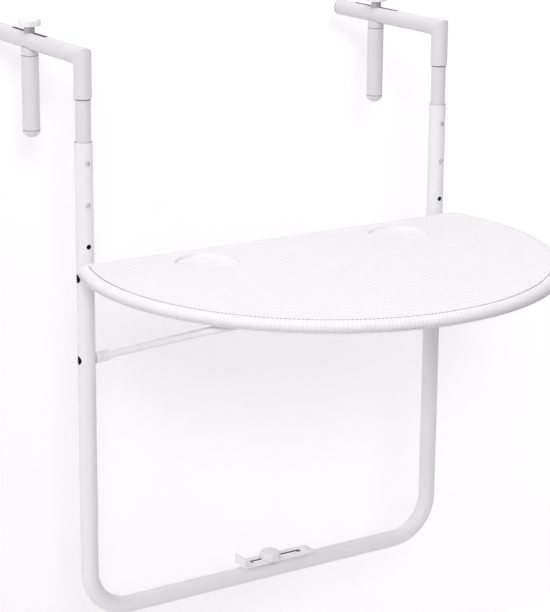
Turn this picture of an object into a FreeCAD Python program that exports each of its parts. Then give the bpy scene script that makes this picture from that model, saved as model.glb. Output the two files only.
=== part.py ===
# Balcony railing bar table: a half-round top on a bent tube frame that hangs on a railing by two hooks.
# Lengths are in millimetres.  X runs along the railing, Y from the user towards the railing and Z up.
# The origin is the front top edge of the railing, halfway between the hooks: the hook arms lie on
# z = 0 and the backs of the hook sleeves stand at y = 0.
import FreeCAD, Part
import Sketcher
import math
import os

SIZES = {
    # bent tube frame
    "leg_pitch": 520.0,
    "leg_length": 606.0,
    "tube_diameter": 22.0,
    "tube_wall": 1.2,
    "bend_radius": 55.0,
    # hooks, and the inner tubes that slide in the legs
    "arm_reach": 235.0,
    "sleeve_drop": 39.0,
    "sleeve_gap": 1.0,
    "inner_diameter": 19.0,
    "inner_wall": 1.2,
    "inner_tail": 25.0,
    "rolled_end": 3.0,
    "flared_end": 6.0,
    "corner_web": 7.0,
    "web_thickness": 7.0,
    "web_bite": 0.85,
    "lip_round": 0.95,
    "height_step": 51.0,
    "hole_drop": 25.0,
    "hole_diameter": 6.2,
    # snap buttons
    "button_diameter": 5.8,
    "button_proud": 1.4,
    "button_round": 1.75,
    "clip_width": 7.0,
    "clip_thickness": 0.8,
    "clip_length": 34.0,
    "clip_tail": 8.0,
    # slots and clamp legs
    "slot_near": 94.0,
    "slot_far": 198.0,
    "slot_width": 6.6,
    "clamp_reach": 148.0,
    "clamp_length": 95.0,
    "saddle_height": 7.0,
    "saddle_horn": 3.3,
    "slider_diameter": 13.4,
    "slider_height": 7.0,
    "key_depth": 3.0,
    "knob_diameter": 29.2,
    "knob_height": 9.0,
    "knob_crown": 2.6,
    "knob_rim": 0.8,
    "knob_corner": 4.1,
    "knob_socket": 6.0,
    "screw_diameter": 6.0,
    "screw_length": 47.0,
    "nut_width": 10.0,
    "nut_height": 5.0,
    "nut_cover": 3.0,
    "past_nut": 1.0,
    # plugs of the tube ends
    "plug_stem": 14.0,
    "plug_collar": 2.0,
    "arm_dome": 3.5,
    "clamp_dome": 7.0,
    # half-round top
    "top_drop": 143.0,
    "top_width": 600.0,
    "top_depth": 400.0,
    "top_thickness": 13.0,
    "top_gap": 6.0,
    "top_skin": 4.5,
    "rim_width": 13.0,
    "rim_top_round": 11.0,
    "rim_foot_round": 1.8,
    "widest_from_back": 60.0,
    "shoulder_radius": 250.0,
    "side_sweep": 20.0,
    "shoulder_sweep": 45.0,
    "corner_radius": 28.0,
    "groove_inset": 15.5,
    "groove_width": 1.2,
    "groove_depth": 0.8,
    "cup_diameter": 78.0,
    "cup_depth": 4.0,
    "cup_pitch": 280.0,
    "cup_from_back": 70.0,
    "rib_thickness": 2.4,
    "rib_pitch": 80.0,
    "rib_relief": 1.5,
    "cross_rib": 150.0,
    "cup_floor": 2.8,
    "boss_diameter": 11.0,
    # hinge of the top
    "hinge_drop": 24.5,
    "bolt_diameter": 6.0,
    "bolt_head": 10.0,
    "bolt_head_height": 4.0,
    "access_diameter": 11.0,
    "spacer_thickness": 5.0,
    "spacer_diameter": 14.0,
    "ear_thickness": 2.5,
    "ear_radius": 9.0,
    "ear_back": 20.0,
    "ear_reach": 72.0,
    "flange_width": 24.0,
    "bracket_screw_inset": 13.2,
    "bracket_screw_near": 38.0,
    "bracket_screw_far": 62.0,
    # support bail and its catches
    "pivot_drop": 103.0,
    "bail_length": 295.0,
    "bail_diameter": 9.0,
    "bail_bend": 25.0,
    "eye_thickness": 3.0,
    "eye_radius": 7.0,
    "eye_length": 24.0,
    "rod_start": 14.4,
    "catch_pitch": 230.0,
    "catch_width": 24.0,
    "catch_base": 2.5,
    "catch_wall": 3.0,
    "catch_lip": 2.6,
    "catch_play": 0.5,
    "catch_mouth": 1.1,
    "catch_foot": 15.0,
    "catch_screw_pitch": 13.0,
    "trim_screw": 4.0,
    "trim_screw_length": 11.0,
    "trim_head": 8.0,
    "trim_head_height": 2.2,
    # foot stop on the crossbar
    "plate_width": 26.0,
    "plate_thickness": 2.0,
    "plate_left": 46.0,
    "plate_right": 64.0,
    "plate_corner": 5.0,
    "plate_flange": 13.0,
    "plate_slot_left": 28.0,
    "plate_slot_right": 44.0,
    "stud_place": 54.0,
    "stud_diameter": 12.5,
    "stud_height": 4.2,
    "stud_stem": 4.0,
    "foot_offset": 5.0,
    "foot_screw": 5.0,
    "bush_flange": 3.0,
    "bush_flange_diameter": 18.0,
    "insert_diameter": 9.0,
    "insert_length": 12.0,
    "insert_spare": 1.0,
    # clearances
    "running_fit": 0.05,
    "bolt_fit": 0.1,
    "tube_fit": 0.3,
    "side_play": 0.15,
}

doc = FreeCAD.newDocument("balcony_bar_table")
sheet = doc.addObject("Spreadsheet::Sheet", "dims")
for row, (alias, number) in enumerate(SIZES.items(), start=1):
    sheet.set("A%d" % row, str(number))
    sheet.setAlias("A%d" % row, alias)
doc.recompute()

# Places and sizes that follow from the driving dimensions, written once as expressions
TUBE_R = "dims.tube_diameter / 2"
BORE_R = "(dims.tube_diameter / 2 - dims.tube_wall)"
INNER_R = "dims.inner_diameter / 2"
INNER_BORE_R = "(dims.inner_diameter / 2 - dims.inner_wall)"
SCREW_R = "dims.screw_diameter / 2"
BOLT_R = "dims.bolt_diameter / 2"
ROD_R = "dims.bail_diameter / 2"
LEG_Y = "(-dims.tube_diameter / 2)"
ARM_Z = "(dims.tube_diameter / 2)"
ARM_CREST = "dims.tube_diameter"
LEG_TOP = "(-dims.sleeve_drop - dims.height_step - dims.sleeve_gap)"
HOLE_ONE = f"({LEG_TOP} - dims.hole_drop)"
BUTTON_Z = f"({HOLE_ONE} - dims.height_step)"
HOLE_THREE = f"({BUTTON_Z} - dims.height_step)"
INNER_END = f"({BUTTON_Z} - dims.inner_tail)"
CROSSBAR_Z = f"({LEG_TOP} - dims.leg_length)"
CROSSBAR_CREST = f"({CROSSBAR_Z} + {TUBE_R})"
TOP_Z = f"({LEG_TOP} - dims.top_drop)"
TOP_UNDER = f"({TOP_Z} - dims.top_thickness)"
TOP_BACK = "(-dims.tube_diameter - dims.top_gap)"
HINGE_Z = f"({TOP_Z} - dims.hinge_drop)"
PIVOT_Z = f"({HINGE_Z} - dims.pivot_drop)"
# the bar of the bail lies just under the base of its catches
BAR_Z = f"({TOP_UNDER} - dims.catch_base - dims.catch_play - {ROD_R})"
BAIL_RISE = f"({BAR_Z} - {PIVOT_Z})"
BAIL_RUN = f"sqrt(dims.bail_length ^ 2 - {BAIL_RISE} ^ 2)"
BAR_Y = f"({LEG_Y} - {BAIL_RUN})"
# what turns on a leg's pivots is stacked inwards from the leg's inner face, at these distances from x = 0
LEG_INSIDE = f"(dims.leg_pitch / 2 - {TUBE_R})"
STACK = f"({LEG_INSIDE} - dims.spacer_thickness - dims.side_play)"
EAR_INSIDE = f"({STACK} - dims.ear_thickness)"
EYE_INSIDE = f"({STACK} - dims.eye_thickness)"
BAIL_X = f"({STACK} - dims.eye_thickness / 2)"
PLATE_Z = f"({CROSSBAR_CREST} + dims.bush_flange)"
PLATE_TOP = f"({PLATE_Z} + dims.plate_thickness)"
SIDES = (("left", -1), ("right", 1))

TURNS = {
    "+z": ((0, 0, 1), 0),
    "-z": ((1, 0, 0), 180),
    "+y": ((1, 0, 0), -90),
    "-y": ((1, 0, 0), 90),
    "+x": ((0, 1, 0), 90),
    "-x": ((0, 1, 0), -90),
}

parts = {}


def val(expression):
    """Number that an expression gives for the sizes in the sheet"""
    return float(sheet.evalExpression(str(expression)))


def place(thing, x="0", y="0", z="0", toward="+z"):
    """Puts a piece at a point, with its own Z axis turned to the given direction"""
    axis, angle = TURNS[toward]
    turn = FreeCAD.Rotation(FreeCAD.Vector(*axis), angle)
    thing.Placement = FreeCAD.Placement(FreeCAD.Vector(), turn)
    for name, expression in (("x", x), ("y", y), ("z", z)):
        thing.setExpression("Placement.Base." + name, expression)
    return thing


def cylinder(name, radius, height, x="0", y="0", z="0", toward="+z"):
    """Round bar that starts at a point and runs in the given direction"""
    bar = doc.addObject("Part::Cylinder", name)
    bar.setExpression("Radius", radius)
    bar.setExpression("Height", height)
    return place(bar, x, y, z, toward)


def hexagon(name, width, height, x="0", y="0", z="0", toward="+z"):
    """Six-sided bar by its width across the flats"""
    bar = doc.addObject("Part::Prism", name)
    bar.Polygon = 6
    bar.setExpression("Circumradius", f"{width} / 2 / cos(30deg)")
    bar.setExpression("Height", height)
    return place(bar, x, y, z, toward)


def block(name, length, width, height, x, y, z):
    """Rectangular block by its lowest corner"""
    piece = doc.addObject("Part::Box", name)
    piece.setExpression("Length", length)
    piece.setExpression("Width", width)
    piece.setExpression("Height", height)
    return place(piece, x, y, z)


def fused(name, pieces):
    """One solid made of several"""
    union = doc.addObject("Part::MultiFuse", name)
    union.Shapes = pieces
    union.Refine = True
    return union


def cut(name, base, tools):
    """A piece with one or more others cut away"""
    for number, tool in enumerate(tools):
        difference = doc.addObject("Part::Cut", f"{name}_cut{number}")
        difference.Base = base
        difference.Tool = tool
        difference.Refine = True
        base = difference
    return base


def group(name, pieces):
    """Several equal pieces that share one file"""
    together = doc.addObject("Part::Compound", name)
    together.Links = pieces
    return together


def register(label, thing):
    """Names a finished sub-part"""
    thing.Label = label
    parts[label] = thing
    return thing


def new_body(label):
    """Empty body of a sub-part"""
    return register(label, doc.addObject("PartDesign::Body", label))


def sketch_on(body, role, name, offset="0"):
    """Sketch on a plane of the body, moved along the plane's normal"""
    sketch = body.newObject("Sketcher::SketchObject", name)
    plane = next(f for f in body.Origin.OriginFeatures if f.Role == role)
    sketch.AttachmentSupport = [(plane, "")]
    sketch.MapMode = "FlatFace"
    if offset != "0":
        sketch.setExpression("AttachmentOffset.Base.z", offset)
    return sketch


def bind(sketch, kind, *terms):
    """Dimension of a sketch that follows an expression, given last"""
    where, expression = terms[:-1], terms[-1]
    index = sketch.addConstraint(Sketcher.Constraint(kind, *where, val(expression)))
    sketch.setExpression("Constraints[%d]" % index, expression)


def fix_point(sketch, item, point, x, y):
    """Ties a point of a sketch element to its coordinates"""
    for kind, axis, expression in (("DistanceX", -2, x), ("DistanceY", -1, y)):
        if abs(val(expression)) < 1e-9:
            sketch.addConstraint(Sketcher.Constraint("PointOnObject", item, point, axis))
        else:
            bind(sketch, kind, -1, 1, item, point, expression)


def add_circle(sketch, x, y, radius):
    """Circle by its centre and radius"""
    centre = FreeCAD.Vector(val(x), val(y), 0)
    item = sketch.addGeometry(Part.Circle(centre, FreeCAD.Vector(0, 0, 1), val(radius)))
    fix_point(sketch, item, 3, x, y)
    bind(sketch, "Radius", item, radius)


def arc_of(start, end, radius, turn):
    """Arc shorter than a half circle from start to end, anticlockwise for a turn of 1"""
    chord = end - start
    side = FreeCAD.Vector(-chord.y, chord.x, 0).normalize() * turn
    rise = math.sqrt(max(radius ** 2 - chord.Length ** 2 / 4, 0.0))
    centre = (start + end) * 0.5 + side * rise
    angles = [math.atan2(p.y - centre.y, p.x - centre.x) for p in (start, end)]
    if turn < 0:
        angles.reverse()
    return Part.ArcOfCircle(Part.Circle(centre, FreeCAD.Vector(0, 0, 1), radius), *angles)


def add_outline(sketch, points, arcs=None):
    """Closed outline; the edge after point i is an arc where arcs gives its radius and turn"""
    arcs = arcs or {}
    spots = [FreeCAD.Vector(val(x), val(y), 0) for x, y in points]
    items = []
    for i, start in enumerate(spots):
        end = spots[(i + 1) % len(spots)]
        if i in arcs:
            radius, turn = arcs[i]
            item = sketch.addGeometry(arc_of(start, end, val(radius), turn))
            ends = (1, 2) if turn > 0 else (2, 1)
        else:
            item = sketch.addGeometry(Part.LineSegment(start, end))
            ends = (1, 2)
        items.append((item, ends))
    for i, (x, y) in enumerate(points):
        item, ends = items[i]
        before, before_ends = items[i - 1]
        sketch.addConstraint(Sketcher.Constraint("Coincident", before, before_ends[1], item, ends[0]))
        fix_point(sketch, item, ends[0], x, y)
    for i, (radius, turn) in arcs.items():
        bind(sketch, "Radius", items[i][0], radius)


def add_slot(sketch, start, end, radius):
    """Slot with round ends between two centres"""
    a, b = (FreeCAD.Vector(val(x), val(y), 0) for x, y in (start, end))
    r = val(radius)
    along = (b - a).normalize()
    side = FreeCAD.Vector(-along.y, along.x, 0) * r
    angle = math.atan2(along.y, along.x)
    up = FreeCAD.Vector(0, 0, 1)
    half = math.pi / 2
    low = sketch.addGeometry(Part.LineSegment(a - side, b - side))
    far = sketch.addGeometry(Part.ArcOfCircle(Part.Circle(b, up, r), angle - half, angle + half))
    high = sketch.addGeometry(Part.LineSegment(b + side, a + side))
    near = sketch.addGeometry(Part.ArcOfCircle(Part.Circle(a, up, r), angle + half, angle + 3 * half))
    loop = (low, far, high, near)
    for one, following in zip(loop, loop[1:] + loop[:1]):
        sketch.addConstraint(Sketcher.Constraint("Tangent", one, 2, following, 1))
    sketch.addConstraint(Sketcher.Constraint("Equal", far, near))
    fix_point(sketch, far, 3, *end)
    fix_point(sketch, near, 3, *start)
    bind(sketch, "Radius", far, radius)


def extrude(body, kind, sketch, length, forward=True):
    """Pad or pocket along the sketch's normal, or against it"""
    feature = body.newObject("PartDesign::" + kind, body.Label + "_" + sketch.Label + "_" + kind.lower())
    feature.Profile = (sketch, [""])
    feature.setExpression("Length", length)
    feature.Reversed = forward != (kind == "Pad")
    before = body.Shape.Volume if kind == "Pocket" else 0.0
    doc.recompute()
    if kind == "Pocket" and not feature.Shape.Volume < before:
        raise RuntimeError(feature.Name + " cuts nothing")
    return feature


def revolve(body, sketch):
    """Turned piece about the sketch's vertical axis"""
    feature = body.newObject("PartDesign::Revolution", body.Label + "_turned")
    feature.Profile = (sketch, [""])
    feature.ReferenceAxis = (sketch, ["V_Axis"])
    feature.Angle = 360.0
    doc.recompute()
    return feature


def fillet(body, radius, wanted):
    """Rounds the edges of the body that the test picks"""
    base = body.Tip
    names = ["Edge%d" % (i + 1) for i, edge in enumerate(base.Shape.Edges) if wanted(edge)]
    feature = body.newObject("PartDesign::Fillet", "%s_fillet%d" % (body.Label, len(body.Group)))
    feature.Base = (base, names)
    feature.setExpression("Radius", radius)
    doc.recompute()
    return feature


def near(a, b, limit=0.01):
    """Whether two numbers are equal within a limit"""
    return abs(a - b) < limit


def pipe(body, route_sketch, section_sketch, corner="Transformed"):
    """Tube or rod along a drawn route"""
    feature = body.newObject("PartDesign::AdditivePipe", body.Label + "_pipe")
    feature.Profile = (section_sketch, [""])
    feature.Spine = (route_sketch, ["Edge%d" % (i + 1) for i in range(len(route_sketch.Shape.Edges))])
    feature.Transition = corner
    doc.recompute()
    return feature


def open_route(sketch, points, arcs=None):
    """Open route of lines and arcs through points, fixed as an outline is"""
    arcs = arcs or {}
    spots = [FreeCAD.Vector(val(x), val(y), 0) for x, y in points]
    items = []
    for i, (start, end) in enumerate(zip(spots, spots[1:])):
        if i in arcs:
            radius, turn = arcs[i]
            item = sketch.addGeometry(arc_of(start, end, val(radius), turn))
            items.append((item, (1, 2) if turn > 0 else (2, 1)))
            bind(sketch, "Radius", item, radius)
        else:
            items.append((sketch.addGeometry(Part.LineSegment(start, end)), (1, 2)))
    for i, (x, y) in enumerate(points[:-1]):
        item, ends = items[i]
        if i:
            before, before_ends = items[i - 1]
            sketch.addConstraint(Sketcher.Constraint("Coincident", before, before_ends[1], item, ends[0]))
        fix_point(sketch, item, ends[0], x, y)
    last, ends = items[-1]
    fix_point(sketch, last, ends[1], *points[-1])


def make_frame():
    """Two legs and the crossbar, bent from one tube, with its holes"""
    body = new_body("u_frame")
    place(body, y=LEG_Y)
    reach = "dims.leg_pitch / 2"
    bend = "dims.bend_radius"
    route = sketch_on(body, "XZ_Plane", "frame_route")
    open_route(route, [
        (f"-{reach}", LEG_TOP), (f"-{reach}", f"{CROSSBAR_Z} + {bend}"),
        (f"-{reach} + {bend}", CROSSBAR_Z), (f"{reach} - {bend}", CROSSBAR_Z),
        (reach, f"{CROSSBAR_Z} + {bend}"), (reach, LEG_TOP),
    ], {1: (bend, 1), 3: (bend, 1)})
    section = sketch_on(body, "XY_Plane", "frame_section", LEG_TOP)
    add_circle(section, f"-{reach}", "0", TUBE_R)
    add_circle(section, f"-{reach}", "0", BORE_R)
    doc.recompute()
    pipe(body, route, section)
    height_holes = sketch_on(body, "XZ_Plane", "height_holes")
    for side, sign in SIDES:
        for level in (HOLE_ONE, BUTTON_Z, HOLE_THREE):
            add_circle(height_holes, f"{sign} * {reach}", level, "dims.hole_diameter / 2")
    extrude(body, "Pocket", height_holes, "dims.tube_diameter")
    for side, sign in SIDES:
        outer = sketch_on(body, "YZ_Plane", side + "_access", f"{sign} * {reach}")
        inner = sketch_on(body, "YZ_Plane", side + "_pivots", f"{sign} * {reach}")
        for level in (HINGE_Z, PIVOT_Z):
            add_circle(outer, "0", level, "dims.access_diameter / 2")
            add_circle(inner, "0", level, f"{BOLT_R} + dims.bolt_fit")
        extrude(body, "Pocket", outer, "dims.tube_diameter", sign > 0)
        extrude(body, "Pocket", inner, "dims.tube_diameter", sign < 0)
    seat = sketch_on(body, "XY_Plane", "insert_seat", CROSSBAR_Z)
    add_circle(seat, "dims.foot_offset", "0", "dims.insert_diameter / 2")
    extrude(body, "Pocket", seat, "dims.tube_diameter")


def make_hooks():
    """Hook tubes with a mitred corner, their inner tubes and the plugs of the arms"""
    for side, sign in SIDES:
        x = f"{sign} * dims.leg_pitch / 2"
        body = new_body(side + "_hook_tube")
        place(body, x=x)
        route = sketch_on(body, "YZ_Plane", "hook_route")
        open_route(route, [
            (LEG_Y, "-dims.sleeve_drop"), (LEG_Y, ARM_Z), (f"{LEG_Y} + dims.arm_reach", ARM_Z),
        ])
        section = sketch_on(body, "XY_Plane", "hook_section", "-dims.sleeve_drop")
        add_circle(section, "0", LEG_Y, TUBE_R)
        add_circle(section, "0", LEG_Y, BORE_R)
        doc.recompute()
        pipe(body, route, section, "Right corner")
        low = val("-dims.sleeve_drop")
        fillet(body, "dims.lip_round", lambda e: near(e.BoundBox.ZMin, low) and near(e.BoundBox.ZMax, low)
               and near(e.BoundBox.XLength, val("dims.tube_diameter")))
        rolled = sketch_on(body, "XY_Plane", "rolled_end", "-dims.sleeve_drop + dims.tube_wall")
        add_circle(rolled, "0", LEG_Y, BORE_R)
        add_circle(rolled, "0", LEG_Y, INNER_R)
        extrude(body, "Pad", rolled, "dims.rolled_end")
        web = sketch_on(body, "YZ_Plane", "corner_web", "-dims.web_thickness / 2")
        add_outline(web, [
            ("-dims.web_bite", "dims.web_bite"), ("-dims.web_bite", "-dims.corner_web"),
            ("0", "-dims.corner_web"), ("dims.corner_web", "0"), ("dims.corner_web", "dims.web_bite"),
        ], {2: ("dims.corner_web", -1)})
        extrude(body, "Pad", web, "dims.web_thickness")
        slot = sketch_on(body, "XY_Plane", "arm_slot", "-dims.tube_wall")
        half = "dims.slot_width / 2"
        add_slot(slot, ("0", f"{LEG_Y} + dims.slot_near + {half}"),
                 ("0", f"{LEG_Y} + dims.slot_far - {half}"), half)
        extrude(body, "Pocket", slot, f"{ARM_CREST} + 2 * dims.tube_wall")

        inner = new_body(side + "_inner_tube")
        place(inner, x=x, y=LEG_Y)
        ring = sketch_on(inner, "XY_Plane", "inner_section", INNER_END)
        add_circle(ring, "0", "0", INNER_R)
        add_circle(ring, "0", "0", INNER_BORE_R)
        extrude(inner, "Pad", ring, f"-({INNER_END})")
        flare = sketch_on(inner, "XY_Plane", "flared_end", "-dims.flared_end")
        add_circle(flare, "0", "0", BORE_R)
        add_circle(flare, "0", "0", INNER_R)
        extrude(inner, "Pad", flare, "dims.flared_end")
        hole = sketch_on(inner, "XZ_Plane", "button_hole")
        add_circle(hole, "0", BUTTON_Z, "dims.hole_diameter / 2")
        extrude(inner, "Pocket", hole, "dims.inner_diameter")

        plug = make_plug(side + "_arm_plug", "dims.arm_dome")
        place(plug, x=x, y=f"{LEG_Y} + dims.arm_reach", z=ARM_Z, toward="+y")


def make_plug(label, dome):
    """Turned plug with a stem in the bore, a collar of the tube's diameter and a domed end"""
    body = new_body(label)
    profile = sketch_on(body, "XZ_Plane", "plug_profile")
    stem = f"{BORE_R} - dims.bolt_fit"
    add_outline(profile, [
        ("0", "-dims.plug_stem"), (stem, "-dims.plug_stem"), (stem, "0"), (TUBE_R, "0"),
        (TUBE_R, "dims.plug_collar"), ("0", f"dims.plug_collar + {dome}"),
    ], {4: (f"(({TUBE_R}) ^ 2 + {dome} ^ 2) / (2 * {dome})", 1)})
    revolve(body, profile)
    return body


def make_snap_clips():
    """V-shaped spring strips in the inner tubes, each formed with its button"""
    for side, sign in SIDES:
        body = new_body(side + "_snap_clip")
        place(body, x=f"{sign} * dims.leg_pitch / 2", y=LEG_Y, z=BUTTON_Z)
        back = f"(sqrt({INNER_BORE_R} ^ 2 - (dims.clip_width / 2) ^ 2) - dims.running_fit)"
        front = f"(-{back})"
        thick = "dims.clip_thickness"
        foot = "dims.clip_tail"
        strip = sketch_on(body, "YZ_Plane", "strip_profile", "-dims.clip_width / 2")
        add_outline(strip, [
            (front, f"-{foot}"), (f"{front} + {thick}", f"-{foot}"),
            (f"{front} + {thick}", f"dims.clip_length - {foot} - {thick} * 2"),
            (f"{back} - {thick}", f"-{foot}"), (back, f"-{foot}"),
            (f"{front} + {thick} * 2", f"dims.clip_length - {foot}"),
            (front, f"dims.clip_length - {foot}"),
        ])
        extrude(body, "Pad", strip, "dims.clip_width")
        pin = sketch_on(body, "XZ_Plane", "pin_section", f"{back} - {thick}")
        add_circle(pin, "0", "0", "dims.button_diameter / 2")
        extrude(body, "Pad", pin, f"{TUBE_R} + dims.button_proud - {back} + {thick}")
        tip = -val(f"{TUBE_R} + dims.button_proud")
        fillet(body, "dims.button_round", lambda e: near(e.BoundBox.YMin, tip) and near(e.BoundBox.YMax, tip))


def make_knob(label, bore_radius):
    """Eight-sided hand knob with rounded corners and a crowned top, seated on the plane z = 0"""
    body = new_body(label)
    outline = sketch_on(body, "XY_Plane", "knob_outline")
    height = val("dims.knob_height")
    corners = []
    for i in range(8):
        angle = f"{22.5 + 45 * i}deg"
        corners.append((f"dims.knob_diameter / 2 * cos({angle})", f"dims.knob_diameter / 2 * sin({angle})"))
    add_outline(outline, corners)
    extrude(body, "Pad", outline, "dims.knob_height")
    fillet(body, "dims.knob_corner", lambda e: near(e.BoundBox.ZLength, height))
    fillet(body, "dims.knob_crown", lambda e: near(e.BoundBox.ZMin, height))
    fillet(body, "dims.knob_rim", lambda e: near(e.BoundBox.ZMax, 0))
    hole = sketch_on(body, "XY_Plane", "knob_socket")
    add_circle(hole, "0", "0", bore_radius)
    extrude(body, "Pocket", hole, "dims.knob_socket")
    return body


def make_clamps():
    """Clamp legs behind the railing, each held by a knob screw through the slot of its arm"""
    y = f"({LEG_Y} + dims.clamp_reach)"
    clear = "dims.tube_fit"
    knob_z = f"({ARM_CREST} + dims.slider_height)"
    nut_z = "(-dims.saddle_height - dims.nut_cover)"
    for side, sign in SIDES:
        x = f"{sign} * dims.leg_pitch / 2"
        slider = cylinder(side + "_slider_disc", "dims.slider_diameter / 2", f"{TUBE_R} + dims.slider_height",
                          x, y, ARM_Z)
        key = block(side + "_slider_key", f"dims.slot_width - 2 * {clear}", "dims.slider_diameter",
                    f"{TUBE_R}", f"{x} - dims.slot_width / 2 + {clear}", f"{y} - dims.slider_diameter / 2",
                    f"{ARM_CREST} - dims.key_depth")
        arm = cylinder(side + "_slider_seat", f"{TUBE_R} + {clear}", "dims.slider_diameter * 2", x,
                       f"{y} - dims.slider_diameter", ARM_Z, "+y")
        collar = cut(side + "_slider_collar", slider, [arm])
        key_limit = cylinder(side + "_key_limit", "dims.slider_diameter / 2",
                             "dims.key_depth + dims.slider_height", x, y, f"{ARM_CREST} - dims.key_depth")
        key_round = doc.addObject("Part::Common", side + "_key_round")
        key_round.Base = key
        key_round.Tool = key_limit
        both = fused(side + "_slider_body", [collar, key_round])
        bore = cylinder(side + "_slider_bore", f"{SCREW_R} + dims.running_fit", "dims.tube_diameter * 2",
                        x, y)
        trim = cylinder(side + "_slider_trim", "dims.slider_diameter", "dims.tube_diameter", x, y, knob_z)
        register(side + "_slot_slider", cut(side + "_slider", both, [trim, bore]))

        knob = make_knob(side + "_clamp_knob", SCREW_R)
        place(knob, x=x, y=y, z=knob_z)
        register(side + "_clamp_screw", cylinder(
            side + "_screw", SCREW_R, "dims.screw_length + dims.knob_socket", x, y,
            f"{knob_z} - dims.screw_length"))

        saddle_top = cylinder(side + "_saddle_top", TUBE_R, "dims.saddle_height + dims.saddle_horn", x, y,
                              "-dims.saddle_height")
        stem = cylinder(side + "_saddle_stem", f"{BORE_R} - dims.bolt_fit", "dims.plug_stem", x, y,
                        "-dims.saddle_height - dims.plug_stem")
        saddle = fused(side + "_saddle_body", [saddle_top, stem])
        seat = cylinder(side + "_saddle_seat", f"{TUBE_R} + {clear}", "dims.tube_diameter * 2", x,
                        f"{y} - dims.tube_diameter", ARM_Z, "+y")
        passage = cylinder(side + "_saddle_passage", f"{SCREW_R} + dims.bolt_fit", "dims.tube_diameter * 2",
                           x, y, "-dims.tube_diameter * 1.5")
        pocket = hexagon(side + "_nut_pocket", "dims.nut_width", "dims.plug_stem", x, y,
                         f"{nut_z} - dims.plug_stem")
        register(side + "_clamp_saddle", cut(side + "_saddle", saddle, [seat, passage, pocket]))

        nut = hexagon(side + "_nut_blank", "dims.nut_width", "dims.nut_height", x, y,
                      f"{nut_z} - dims.nut_height")
        thread = cylinder(side + "_nut_bore", f"{SCREW_R} + dims.running_fit", "dims.nut_height", x, y,
                          f"{nut_z} - dims.nut_height")
        register(side + "_clamp_nut", cut(side + "_nut", nut, [thread]))

        outer = cylinder(side + "_clamp_outer", TUBE_R, "dims.clamp_length", x, y,
                         "-dims.saddle_height - dims.clamp_length")
        inside = cylinder(side + "_clamp_inside", BORE_R, "dims.clamp_length", x, y,
                          "-dims.saddle_height - dims.clamp_length")
        register(side + "_clamp_tube", cut(side + "_clamp", outer, [inside]))
        plug = make_plug(side + "_clamp_plug", "dims.clamp_dome")
        place(plug, x=x, y=y, z="-dims.saddle_height - dims.clamp_length", toward="-z")


# The outline of the top is tangent arcs: a side arc, a shoulder arc and half of the front arc on each
# side.  The two sweeps and the shoulder radius are chosen, and the other radii close the outline.
FIRST = "(dims.side_sweep * 1deg)"
SECOND = "((dims.side_sweep + dims.shoulder_sweep) * 1deg)"
FRONT_DEPTH = "(dims.top_depth - dims.widest_from_back)"
ACROSS = f"(dims.top_width / 2 - dims.shoulder_radius * (cos({FIRST}) - cos({SECOND})))"
ALONG = f"({FRONT_DEPTH} - dims.shoulder_radius * (sin({SECOND}) - sin({FIRST})))"
SPREAD = f"((1 - cos({FIRST})) * (1 - sin({SECOND})) - cos({SECOND}) * sin({FIRST}))"
SIDE_RADIUS = f"(({ACROSS} * (1 - sin({SECOND})) - cos({SECOND}) * {ALONG}) / {SPREAD})"
FRONT_RADIUS = f"(((1 - cos({FIRST})) * {ALONG} - sin({FIRST}) * {ACROSS}) / {SPREAD})"
WIDEST_Y = "(-dims.widest_from_back)"
SIDE_CENTRE = f"(dims.top_width / 2 - {SIDE_RADIUS})"
SHOULDER_X = f"({SIDE_CENTRE} + ({SIDE_RADIUS} - dims.shoulder_radius) * cos({FIRST}))"
SHOULDER_Y = f"({WIDEST_Y} - ({SIDE_RADIUS} - dims.shoulder_radius) * sin({FIRST}))"
FRONT_CENTRE = f"({FRONT_RADIUS} - dims.top_depth)"


def front_edge(x, inset, middle):
    """Y of the outline's front at a distance x from the middle, on the front arc or on the shoulder arc"""
    if middle:
        return f"({FRONT_CENTRE} - sqrt(({FRONT_RADIUS} - {inset}) ^ 2 - ({x}) ^ 2))"
    return f"({SHOULDER_Y} - sqrt((dims.shoulder_radius - {inset}) ^ 2 - ({x} - {SHOULDER_X}) ^ 2))"


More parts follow.
